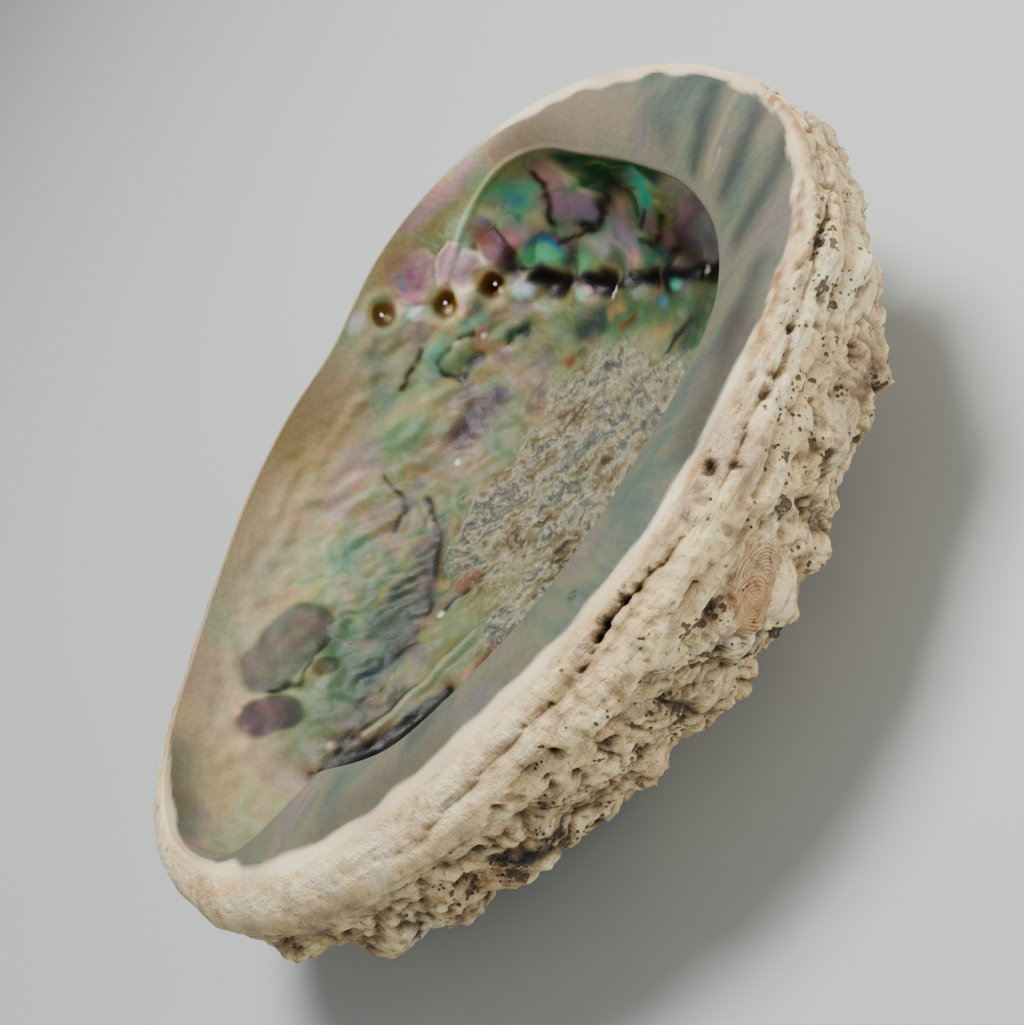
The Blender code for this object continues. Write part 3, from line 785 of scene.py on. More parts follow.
def pore_paint(skin, colour):
    """Each pore is a dark amber funnel in a pearly swelling."""
    points = skin.smooth_points + 0.5 * skin.wobble
    pearly = ramp(skin.wobble[:, 0], PEARLY_RAMP)
    for number, centre in enumerate(PORE_ROW):
        away = np.linalg.norm(points - np.array(centre), axis=1)
        colour = blend(colour, pearly, 0.35 * smooth((6.4 - away) / 2.5))
        if number < OPEN_PORES:
            colour = blend(colour, AMBER, 0.95 * smooth((3.7 - away) / 1.7))
            colour = blend(colour, BROWN, smooth((2.4 - away) / 1.0))
    # Painted shade: each closed pore's dimple goes from brownish to near black
    for pixels, width in CLOSED_MOUTHS:
        near = stroke(points + 0.9 * skin.wobble, pixels, width * 1.9)
        colour = blend(colour, srgb(58, 52, 36), 0.85 * smooth(1.4 * near))
        colour = blend(colour, srgb(6, 5, 4), smooth(1.7 * near - 0.6))
    return colour


def shelf_paint(skin):
    """Colours of the shelf between the lip and the rim."""
    points = skin.smooth_points
    rays = np.stack([points[:, 0], points[:, 1], 0.0 * points[:, 2]], axis=1)
    rays /= np.maximum(np.linalg.norm(rays, axis=1, keepdims=True), 1.0)
    streaks = 0.7 * noise_at(rays * 12.0 + skin.rim_distance[:, None] * 0.05, 1.0)
    streaks += 0.25 * noise_at(rays * 60.0 + skin.rim_distance[:, None] * 0.04, 1.0)
    streaks += 0.8 * noise_at(points, 13.0)
    colour = ramp(streaks, SHELF_RAMP)
    top = window(skin.bearing, 92.0, 112.0, 150.0, 165.0)
    colour = blend(colour, srgb(190, 168, 146), 0.75 * top)
    colour = patched(colour, points + 0.9 * skin.wobble, SHELF_PATCHES, 1.3)
    away = np.linalg.norm(points - FINDER.place(BROWN_RING), axis=1)
    colour = blend(colour, BROWN, 0.8 * smooth(1.0 - np.abs(away - 0.7) / 0.5))
    lip = smooth(1.0 - np.abs(skin.ring - (FLOOR_RINGS + HOLLOW_RINGS + LIP_RINGS)) / 4.0)
    return blend(colour, srgb(150, 156, 140), 0.4 * lip)


def shelf_share(skin):
    """How much of the shelf's paint each place takes: on the shelf, and on the bowl's lower end."""
    shelf_start = FLOOR_RINGS + HOLLOW_RINGS + LIP_RINGS * 0.4
    on_shelf = window(skin.bearing, *PAINTED_SHELF) * smooth((skin.ring - shelf_start) / 3.0)
    near_end = stroke(skin.smooth_points, LOWER_END, 17.0, 0.5)
    on_end = near_end * smooth((6.0 - np.abs(skin.smooth_points[:, 2])) / 10.0 + 1.0)
    return np.maximum(on_shelf, 0.9 * on_end)


def nacre_tones(skin, colour, on_shelf):
    """The nacre's strength of colour, contrast and brightness, by place."""
    points = skin.smooth_points
    z = points[:, 2]
    off_shelf = 1.0 - on_shelf
    spire_side = above_row(points, skin.bearing)
    in_hollow = window(skin.bearing, 60.0, 90.0, 146.0, 162.0) * spire_side * off_shelf
    in_hollow = in_hollow * smooth((-8.0 - z) / 10.0)
    on_floor = smooth((-24.0 - z) / 8.0) * (1.0 - spire_side) * off_shelf
    on_floor = on_floor * (1.0 - 0.3 * scar_area(points))
    on_wall = window(skin.bearing, *SATIN_WALL) * smooth((z + 30.0) / 12.0)
    upper = window(skin.bearing, 104.0, 122.0, 160.0, 178.0) * smooth((z + 20.0) / 8.0) * off_shelf
    high = smooth((z + 34.0) / 16.0)

    middle = colour.mean(axis=1, keepdims=True)
    saturation = (NACRE_SATURATION - 0.4 * on_shelf + 0.25 * in_hollow + 0.25 * on_floor)[:, None]
    colour = np.clip(middle + saturation * (colour - middle), 0.0, 1.0)
    contrast = np.clip(0.5 * (on_floor + in_hollow), 0.0, 0.5)[:, None]
    colour = colour * NACRE_TONE * np.clip(middle / 0.3, 0.3, 1.5) ** contrast
    colour *= 1.0 - (1.0 - SHELF_TONE) * on_shelf[:, None]
    # Painted light: the hollow under the lip is lightened against its shade, most near its top; the floor is
    # darkened, the satin wall and the upper wall on the spire's side lightened
    colour *= (1.0 + (0.35 + 2.5 * high) * in_hollow - 0.56 * on_floor + 0.2 * on_wall)[:, None]
    colour *= (1.0 + 0.5 * upper)[:, None]
    colour[:, 2] *= 1.0 - 0.06 * on_floor + 0.2 * in_hollow
    return colour


def nacre_paint(skin):
    """Colours of the inner skin, up to the ragged edge of the crust at the rim."""
    points = skin.smooth_points
    on_shelf = shelf_share(skin)
    colour = blend(bowl_paint(skin), shelf_paint(skin), on_shelf)
    colour = gap_paint(skin, pore_paint(skin, colour))
    colour = nacre_tones(skin, colour, on_shelf)
    # Painted highlights where light glints on the nacre
    for pixel, width, tint in GLINTS:
        colour = blend(colour, tint, 0.9 * stroke(points + 0.3 * skin.wobble, (pixel,), width * 1.5))
    edge = 1.5 + 1.2 * noise_at(points, 7.0) + 1.2 * window(skin.bearing, 240.0, 262.0, 330.0, 350.0)
    edge += 1.2 * window(skin.bearing, 85.0, 100.0, 115.0, 130.0)
    edge -= 1.2 * window(skin.bearing, *THIN_RIM)
    edge = np.maximum(edge, 0.3)
    return blend(colour, rim_tint(skin), smooth((edge - skin.rim_distance) / (0.5 * edge) + 0.5))


def rim_tint(skin):
    """Cream along the thick crust, tan along the thin side, with rusty stretches."""
    cream = ramp(noise_at(skin.smooth_points, 12.0), RIM_RAMP)
    tint = blend(cream, srgb(164, 144, 116), window(skin.bearing, *THIN_RIM))
    ragged = smooth(0.7 + 1.6 * noise_at(skin.smooth_points, 1.8))
    for pixels, width in RUSTY_EDGES:
        tint = blend(tint, RUST, ragged * stroke(skin.smooth_points + skin.wobble, pixels, width * 1.6))
    return tint


# Rusty stretches where the nacre ends at the crust: pixels, half width in mm
RUSTY_EDGES = (
    (((768, 96), (790, 110), (808, 138), (818, 152)), 1.8),
    (((802, 183), (800, 235)), 1.2),
    (((782, 262), (770, 320), (752, 350)), 1.6),
    (((769, 322),), 2.4),
    (((745, 390), (718, 443), (701, 478)), 1.6),
    (((690, 500), (660, 545), (636, 577)), 1.4),
    (((604, 40), (640, 52), (700, 62)), 1.0),
)

# Cavities of the crust: pixel, radius and depth in mm
CAVITIES = (
    ((859, 350), 2.2, 2.2),
    ((868, 396), 2.4, 2.0),
    ((710, 468), 1.5, 1.8),
    ((735, 465), 0.9, 1.0),
    ((704, 606), 1.7, 2.4),
    ((609, 746), 1.9, 1.8),
    ((640, 733), 1.1, 1.2),
    ((663, 702), 1.1, 1.0),
    ((657, 690), 0.9, 1.0),
    ((698, 690), 1.0, 1.0),
    ((622, 599), 1.2, 1.4),
    ((604, 625), 1.2, 1.4),
    ((596, 638), 1.1, 1.2),
    ((638, 588), 0.8, 0.9),
    ((800, 265), 1.0, 1.0),
    ((820, 243), 1.0, 1.0),
    ((774, 515), 1.1, 1.0),
    ((796, 510), 1.0, 1.0),
    ((777, 452), 1.0, 0.9),
    ((493, 800), 1.0, 1.0),
    ((553, 742), 1.0, 1.2),
    ((480, 852), 1.2, 1.0),
    ((497, 850), 1.0, 1.0),
    ((545, 770), 1.2, 1.2),
    ((575, 770), 1.2, 1.2),
)

# Clusters of small bore holes: pixel, half width in mm
BORE_CLUSTERS = (
    ((693, 627), 4.6),
    ((680, 727), 4.4),
    ((645, 756), 3.4),
    ((663, 705), 3.4),
    ((700, 655), 3.4),
    ((866, 390), 3.4),
    ((858, 345), 3.0),
    ((780, 500), 4.5),
    ((775, 455), 4.0),
    ((822, 240), 4.5),
    ((830, 290), 4.5),
    ((845, 320), 4.0),
    ((840, 440), 3.5),
    ((805, 380), 3.0),
    ((815, 200), 3.0),
    ((470, 890), 5.5),
    ((510, 868), 4.0),
    ((560, 800), 3.5),
    ((745, 655), 3.5),
)

# Ridged growths: pixel of the middle, pixel at the edge, colour, strength of the ridges
RIDGED_GROWTHS = (
    ((757, 580), (726, 578), srgb(196, 164, 128), 0.9),
    ((779, 590), (791, 589), srgb(232, 212, 176), 0.0),
    ((743, 600), (762, 600), srgb(190, 150, 104), 0.8),
    ((649, 668), (664, 656), srgb(166, 154, 134), 0.8),
    ((631, 706), (645, 692), srgb(184, 168, 142), 0.6),
    ((808, 588), (818, 572), srgb(168, 144, 112), 0.6),
    ((842, 430), (856, 420), srgb(206, 186, 156), 0.4),
)

# Black growth on the crust: pixels, half width in mm
BLACK_STREAKS = (
    (((784, 621), (762, 635), (742, 650)), 1.5),
    (((580, 822), (540, 842), (500, 862)), 1.4),
    (((548, 790), (540, 815)), 0.8),
)

# The raised ledge beside the rim, and the two grooves under it
LEDGE = ((712, 505), (665, 598), (634, 652), (600, 695), (558, 738))
GROOVES = (((650, 575), (622, 600), (596, 640), (560, 690)), ((688, 575), (652, 640), (618, 690), (585, 725)))

# Tones of the crust: name, pixels, half width in mm, colour, strength
CRUST_PATCHES = (
    ("rust point", ((687, 487), (686, 494)), 0.9, srgb(140, 90, 44), 0.8),
    ("grey brown hollow", ((729, 537),), 2.0, srgb(120, 102, 82), 0.8),
    ("brown at the break", ((706, 460), (714, 474)), 2.2, srgb(104, 76, 46), 0.7),
    ("brown groove", GROOVES[0], 1.0, srgb(130, 102, 74), 0.7),
    ("second groove", ((640, 600), (600, 655), (545, 715), (480, 770)), 0.6, srgb(140, 116, 90), 0.5),
    ("porous brown end", ((430, 905), (470, 890), (505, 872)), 4.0, srgb(150, 112, 72), 0.7),
    ("boss by the coil", ((778, 590),), 2.4, srgb(232, 214, 180), 0.8),
    ("orange heart of the coil", ((738, 612),), 1.4, srgb(216, 172, 116), 0.8),
    # Painted shade along the foot of the ledge
    ("foot of the ledge", ((700, 560), (672, 612), (645, 662), (612, 705)), 1.4, srgb(150, 126, 98), 0.5),
    ("warm ledge", LEDGE, 1.5, srgb(238, 216, 172), 0.8),
    ("dark brown cluster", ((680, 727), (690, 722)), 2.0, srgb(92, 70, 48), 0.7),
    ("yellow crust", ((820, 690), (700, 800), (660, 790)), 4.0, srgb(216, 190, 138), 0.5),
    ("tan peel", ((190, 882), (215, 895), (240, 890)), 2.4, srgb(206, 176, 132), 0.8),
    ("pink edge", ((880, 330), (884, 360)), 2.0, srgb(190, 140, 122), 0.6),
)


def past_band(skin):
    """0 on the rim and on the chalky band beside it, 1 on the rough crust beyond."""
    banded = window(skin.bearing, *CHALKY_BAND)
    return smooth((skin.rim_distance - 0.6 - 7.0 * banded) / (2.0 + 5.0 * banded))


def growth(points, middle, edge):
    """How far the points lie from the middle of a round growth, and how far it reaches, in mm."""
    place = FINDER.place(middle)
    return np.linalg.norm(points - place, axis=1), np.linalg.norm(FINDER.place(edge) - place)


def layers_of(skin):
    """The crust's broken layers by the rim: how high each place stands in its layer, and where they show."""
    points = skin.smooth_points
    place = (skin.rim_distance + 3.0 * noise_at(points, 18.0) + 1.2 * noise_at(points, 5.0)) / 5.0
    shown = window(skin.bearing, 290.0, 330.0, 60.0, 110.0) * smooth((24.0 - skin.rim_distance) / 8.0)
    return np.modf(np.abs(place) + 0.001)[0], shown * smooth((skin.rim_distance - 1.0) / 2.0)


def flakes_of(skin):
    """Long flakes that run beside the rim, between about -1 and 1."""
    angle = np.radians(skin.bearing)
    across = (skin.rim_distance + 2.0 * noise_at(skin.smooth_points, 14.0)) * 0.42
    return noise_at(np.column_stack([3.0 * np.cos(angle), 3.0 * np.sin(angle), across]), 1.0)


def fibres_of(skin):
    """Fine ridges along the crust, crossing it at a slant, between about -1 and 1."""
    angle = np.radians(skin.bearing)
    turn = skin.rim_distance / 40.0
    along = np.stack([np.cos(angle + turn), np.sin(angle + turn)], axis=1) * 2.4
    across = skin.rim_distance * 0.9 + 14.0 * np.sin(angle * 2.0)
    return noise_at(np.column_stack([along, across]), 1.0)


def crust_fine(skin):
    """The crust's small relief in mm; the skin keeps its crevices, undercuts and pits for the paint."""
    points = skin.smooth_points
    thick = window(skin.bearing, *THICK_CRUST)
    off_band = past_band(skin)
    rough = off_band * (0.35 + 0.65 * thick)
    knobbly = smooth((skin.rim_distance - 10.0) / 12.0)
    height = rough * (0.35 + 0.65 * knobbly) * (0.9 * noise_at(points, 4.6) + 0.8 * noise_at(points, 2.4))
    height += rough * 0.35 * noise_at(points, 1.3)
    height += 0.9 * (1.0 - knobbly) * off_band * flakes_of(skin)
    height += (1.0 - rough) * (0.16 * noise_at(points, 6.0) + 0.06 * noise_at(points, 1.6))
    crevice = smooth(1.0 - 7.0 * np.abs(noise_at(points + 20.0, 7.0)))
    crevice += 0.7 * smooth(1.0 - 6.0 * np.abs(noise_at(points, 3.2)))
    skin.crevice = crevice * rough * (0.25 + 0.75 * knobbly)
    height -= 1.1 * skin.crevice
    layer, layered = layers_of(skin)
    skin.undercut = layered * smooth(1.0 - layer / 0.16)
    height += layered * (1.7 * smooth(3.0 * layer) * (1.0 - 0.3 * layer) - 0.8)
    height += 0.35 * fibres_of(skin) * off_band
    first, _, name = cells_at(points + 5.0 + 0.8 * skin.wobble, 3.4)
    patchy = smooth(0.5 + 1.6 * noise_at(points, 14.0))
    skin.pits = smooth((0.4 - first) * 6.0) * (name > 0.36) * patchy * off_band * (0.25 + 0.75 * thick)
    height -= 0.9 * skin.pits
    for pixel, radius, depth in CAVITIES:
        height -= depth * smooth(1.6 * bump(points + 0.5 * skin.wobble, FINDER.place(pixel), radius * 1.3))
    for middle, edge, _, _ in RIDGED_GROWTHS:
        away, reach = growth(points, middle, edge)
        height = height * (1.0 - 0.8 * smooth((reach - away) / 1.0)) + 0.9 * smooth((reach - away) / 1.5)
    height += 2.0 * stroke(points + 0.6 * skin.wobble, LEDGE, 2.6)
    for pixels in GROOVES:
        height -= 0.7 * stroke(points + 0.6 * skin.wobble, pixels, 1.6)
    return height


def chalk_paint(skin, colour):
    """The chalky band beside the rim, with its cracks."""
    points = skin.smooth_points
    band = smooth((10.0 - skin.rim_distance) / 4.0) * window(skin.bearing, *CHALKY_BAND)
    chalk = ramp(noise_at(points, 7.0) + 0.7 * noise_at(points, 2.2), CHALK_RAMP)
    crack = smooth(1.0 - 11.0 * np.abs(noise_at(points + 2.0 * skin.wobble, 6.0)))
    crack = crack * smooth(0.4 + 2.0 * noise_at(points, 9.0))
    return blend(blend(colour, chalk, 0.75 * band), TAN, 0.85 * band * crack)


def rim_paint(skin, colour):
    """Brown lines between the flakes beside the rim, the rim's own tint and rust along it."""
    points = skin.smooth_points
    flaked = smooth(1.0 - 9.0 * np.abs(flakes_of(skin))) * smooth(0.6 + 1.8 * noise_at(points, 5.0))
    near_rim = smooth((13.0 - skin.rim_distance) / 4.0) * smooth((skin.rim_distance - 0.8) / 1.0)
    off_thin_side = window(skin.bearing, 280.0, 300.0, 100.0, 120.0)
    colour = blend(colour, srgb(140, 112, 76), 0.75 * flaked * near_rim * off_thin_side)
    colour = blend(colour, rim_tint(skin), smooth(1.0 - skin.rim_distance / 2.5))
    rusty = window(skin.bearing, 330.0, 350.0, 80.0, 100.0) * smooth(0.4 + 2.0 * noise_at(points, 8.0))
    at_rim = smooth(1.0 - np.abs(skin.rim_distance - 1.2) / 1.4)
    return blend(colour, srgb(166, 116, 68), 0.7 * rusty * at_rim)


def crust_paint(skin, fine):
    """Colours of the crust: cream lumps with painted light on the raised places, brown painted shade in the
    hollows, crevices, pits and cavities, growths and the band beside the rim.
    """
    points = skin.smooth_points
    off_band = past_band(skin)
    value = noise_at(points, 15.0) + 0.6 * noise_at(points, 5.0) + 0.3 * noise_at(points, 2.0)
    colour = ramp(value, CRUST_RAMP)
    uneven = noise_at(points, 9.0)
    # Painted shade: tan in the low places of the relief
    colour = blend(colour, TAN, 0.7 * smooth(-1.1 * fine))
    colour = blend(colour, TAN, 0.5 * smooth(-2.0 * fibres_of(skin) - 0.2) * off_band)
    # Painted shade: brown in the crevices, under the layers' edges, in the lowest places and in the pits
    colour = blend(colour, BROWN, 0.85 * skin.crevice * smooth(0.6 + 2.0 * uneven))
    colour = blend(colour, BROWN, 0.5 * skin.undercut * smooth(0.3 + 1.6 * uneven))
    colour = blend(colour, BROWN, 0.75 * smooth(-1.2 * fine - 0.7) + 0.85 * skin.pits)
    colour = chalk_paint(skin, colour)
    ragged = smooth(0.75 + 1.2 * noise_at(points, 1.8))
    colour = patched(colour, points + 0.9 * skin.wobble, CRUST_PATCHES, 1.4, ragged)
    ragged = smooth(0.9 + 2.2 * noise_at(points, 1.3))
    for pixels, width in BLACK_STREAKS:
        colour = blend(colour, BLACK, ragged * stroke(points + 1.2 * skin.wobble, pixels, width * 1.6, 0.5))
    for middle, edge, tint, _ in RIDGED_GROWTHS:
        away, reach = growth(points, middle, edge)
        colour = blend(colour, tint, 0.9 * smooth((reach - away) / 0.9))
    # Painted shade: dark brown in each cavity
    for pixel, radius, _ in CAVITIES:
        cavity = bump(points + 0.5 * skin.wobble, FINDER.place(pixel), radius * 1.15)
        colour = blend(colour, srgb(74, 50, 28), smooth(1.8 * cavity))
    colour = rim_paint(skin, colour)
    # Painted light on the raised places and painted shade in the low ones
    colour *= (1.0 + 0.16 * smooth(1.4 * fine) - 0.45 * smooth(-1.1 * fine - 0.15) * off_band)[:, None]
    return np.clip(colour * CRUST_TONE, 0.0, 1.0)


def crust_floats(skin):
    """How pitted, bored and ridged the crust is at each place, and how far out in its growth."""
    points = skin.smooth_points
    banded = window(skin.bearing, *CHALKY_BAND)
    thick = window(skin.bearing, *THICK_CRUST)
    pitted = smooth((skin.rim_distance - 1.0 - 7.0 * banded) / (2.0 + 3.0 * banded)) * (0.3 + 0.7 * thick)
    bored = np.zeros(len(points))
    ridged = np.zeros(len(points))
    ridges = np.zeros(len(points))
    for pixel, width in BORE_CLUSTERS:
        bored = np.maximum(bored, stroke(points + 1.5 * skin.wobble, (pixel,), width * 1.3))
    for middle, edge, _, strength in RIDGED_GROWTHS:
        away, reach = growth(points + 0.9 * skin.wobble, middle, edge)
        within = away < reach
        ridged[within] = (strength * smooth((reach - away) / 0.8))[within]
        ridges[within] = (away / RIDGE_SCALE)[within]
    return {"pitted": pitted, "bored": bored, "ridged": ridged, "ridges": ridges}


def bowl_share(skin):
    """1 in the bowl and on the bare wall, 0 on the lip and the shelf."""
    return 1.0 - window(skin.bearing, *SHELF) * smooth((skin.ring - FLOOR_RINGS - HOLLOW_RINGS) / 3.0)


def nacre_fine(skin):
    """The nacre's small relief in mm: cell edges, felt of the scar, creases, the gap and the raised fold."""
    points = skin.smooth_points
    in_bowl = bowl_share(skin)
    spire_side = above_row(points, skin.bearing)
    deep = smooth((-8.0 - points[:, 2]) / 8.0) * in_bowl
    scar = scar_area(points) * in_bowl
    celled = window(skin.bearing, *CELLED_SIDE) * deep * (1.0 - scar) * spire_side
    first, second, _ = cells_at(points + 1.6 * skin.wobble, CELL_SIZE)
    edges = smooth(1.0 - (second - first) / 0.2) * smooth(0.6 + 2.0 * noise_at(points + 3.0, 8.0))
    height = -0.5 * celled * edges
    for centre in PORE_ROW[:OPEN_PORES]:
        away = np.linalg.norm(points + 0.3 * skin.wobble - np.array(centre), axis=1)
        height += 0.5 * smooth((6.4 - away) / 2.5) - 0.9 * smooth((3.8 - away) / 2.0)
    height += deep * (1.0 - scar) * (0.4 * noise_at(points, 5.0) + 0.14 * noise_at(points, 2.2))
    height += scar * (0.45 * noise_at(points, 3.0) + 0.3 * noise_at(points, 1.4))
    height += (1.0 - deep) * 0.08 * noise_at(points, 8.0)
    folds = noise_at(points @ FOLD_TURN * np.array((0.07, 0.32, 0.32)), 1.0)
    height += 0.5 * folds * deep * (1.0 - scar) * (1.0 - spire_side)
    for pixels, width, depth in CREASES:
        height -= 0.25 * in_bowl * depth * stroke(points + 0.9 * skin.wobble, pixels, width * 2.2)
    return height + in_bowl * (0.9 * stroke(points, FOLD, 2.2) - stroke(points, GAP, 3.6))


def nacre_play(skin):
    """How strongly each place shows the play of colours."""
    points = skin.smooth_points
    z = points[:, 2]
    deep = smooth((-8.0 - z) / 12.0)
    wall = window(skin.bearing, *SATIN_WALL) * smooth((z + 30.0) / 12.0)
    play = np.clip(0.15 + 0.5 * deep - 0.7 * scar_area(points) - 0.3 * wall, 0.06, 1.0)
    play *= 0.6 + 0.4 * bowl_share(skin)
    play *= 1.0 - 0.8 * stroke(points, LOWER_END, 20.0, 0.5)
    play *= 1.0 - stroke(points, GAP, 3.0)
    for pixels, width in CLOSED_MOUTHS:
        play *= 1.0 - stroke(points, pixels, width * 2.0)
    return play * smooth(skin.rim_distance / 4.0)


class Skin:
    """The kept corners of the smooth grid between two rings, and what is known of each."""

    def __init__(self, grid, normal, rim_distance, steps, first, last):
        self.first = first
        self.last = last
        self.rings = []
        points, normals, bearings, numbers, distances = [], [], [], [], []
        count = 0
        for j in range(first, last + 1):
            kept = np.arange(0, BEARINGS, BEARINGS if j in (0, grid.shape[1] - 1) else steps[j])
            self.rings.append(list(range(count, count + len(kept))))
            count += len(kept)
            points.append(grid[kept, j])
            normals.append(normal[kept, j])
            bearings.append(kept * 360.0 / BEARINGS)
            numbers.append(np.full(len(kept), j, float))
            distances.append(rim_distance[kept, j])
        self.smooth_points = np.concatenate(points)
        self.normal = np.concatenate(normals)
        self.bearing = np.concatenate(bearings)
        self.ring = np.concatenate(numbers)
        self.rim_distance = np.concatenate(distances)
        self.wobble = warped(self.smooth_points, 4.0, 1.0) - self.smooth_points

    def faces(self):
        """Triangles between each ring and the next, from the first to the last."""
        faces = []
        for near, far in zip(self.rings[:-1], self.rings[1:]):
            if len(near) == 1:
                faces.extend((near[0], corner, far[(k + 1) % len(far)]) for k, corner in enumerate(far))
            elif len(far) == 1:
                faces.extend((far[0], near[(k + 1) % len(near)], corner) for k, corner in enumerate(near))
            else:
                faces.extend(strip_faces(near, far))
        return faces


def ring_steps(grid):
    """Every ring takes each bearing, or every second, fourth and so on near the two middles."""
    edges = np.linalg.norm(np.roll(grid, -1, axis=0) - grid, axis=2).mean(axis=0)
    steps = np.ones(grid.shape[1], int)
    for limit, step in ((0.34, 2), (0.17, 4), (0.085, 8), (0.042, 16)):
        steps[edges < limit] = step
    return steps


def strip_faces(near, far):
    """Triangles between two rings, where one may have twice as many corners as the other."""
    if len(near) > len(far):
        return [tuple(reversed(face)) for face in strip_faces(far, near)]
    faces = []
    ratio = len(far) // len(near)
    for k, corner in enumerate(near):
        following = near[(k + 1) % len(near)]
        fine = [far[(k * ratio + i) % len(far)] for i in range(ratio + 1)]
        middle = ratio // 2
        for i in range(ratio):
            faces.append((corner if i < max(middle, 1) else following, fine[i], fine[i + 1]))
        faces.append((corner, fine[max(middle, 1)], following))
    return faces


def rim_distances(grid):
    """How far each corner lies from the rim along its section, in mm."""
    lengths = np.linalg.norm(np.diff(grid, axis=1), axis=2)
    along = np.hstack([np.zeros((len(grid), 1)), lengths.cumsum(axis=1)])
    return np.abs(along - along[:, RIM:RIM + 1])


def relief_points(skin, height, tucked):
    """The skin's corners with their relief, level at the rim and none lower than what the shell rests on."""
    height = height * smooth(skin.rim_distance / 2.0)
    height[tucked] = -TUCK
    points = skin.smooth_points + skin.normal * height[:, None]
    points[:, 2] = np.maximum(points[:, 2], -REST_DEPTH)
    return points


def draw_in(points, start, axis):
    """Draws points around a pore's axis in to its mouth; tells how far along all lie, and which were."""
    along = (points - start) @ axis
    across = points - start - along[:, None] * axis
    away = np.linalg.norm(across, axis=1)
    near = (away < PORE_RADIUS + 0.2) & (np.abs(along) < WALL_REACH)
    points[near] += across[near] * (PORE_MOUTH / np.maximum(away[near], 0.01) - 1.0)[:, None]
    return along, near


def cut_pores(inside, inner, outside, outer):
    """Opens the pores that go through: the inner skin is drawn out as a tube to a hole in the outer one."""
    inside.open = np.zeros(len(inner), bool)
    outside.open = np.zeros(len(outer), bool)
    for centre in PORE_ROW[:OPEN_PORES]:
        start = np.array(centre)
        axis = inside.normal[np.linalg.norm(inside.smooth_points - start, axis=1).argmin()]
        depth, tube = draw_in(inner, start, axis)
        reach, hole = draw_in(outer, start, axis)
        inside.open |= tube
        outside.open |= hole
        inner[tube] += (reach[hole].mean() - depth[tube])[:, None] * axis


def make_piece(name, skin, points, colour, floats, material):
    """A piece of the shell, with its paint and its other values on the corners of the mesh."""
    points = (points + CENTRE) * MM
    faces = [face for face in skin.faces() if not all(skin.open[corner] for corner in face)]
    mesh = bpy.data.meshes.new(name)
    mesh.from_pydata(points.tolist(), [], faces)
    mesh.shade_smooth()
    paint = mesh.attributes.new("paint", "FLOAT_COLOR", "POINT")
    full = np.ones((len(points), 4))
    full[:, :3] = np.clip(colour, 0.0, 1.0)
    paint.data.foreach_set("color", full.ravel())
    for label, values in floats.items():
        attribute = mesh.attributes.new(label, "FLOAT", "POINT")
        attribute.data.foreach_set("value", np.clip(values, 0.0, 1.0))
    flow = mesh.attributes.new("flow", "FLOAT_VECTOR", "POINT")
    angle = np.radians(skin.bearing)
    places = np.stack([FLOW_RADIUS * np.cos(angle), FLOW_RADIUS * np.sin(angle), skin.rim_distance], axis=1)
    flow.data.foreach_set("vector", places.ravel())
    mesh.materials.append(material)
    piece = bpy.data.objects.new(name, mesh)
    bpy.context.scene.collection.objects.link(piece)
    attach(piece, "root")
    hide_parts(NODE)
    return piece


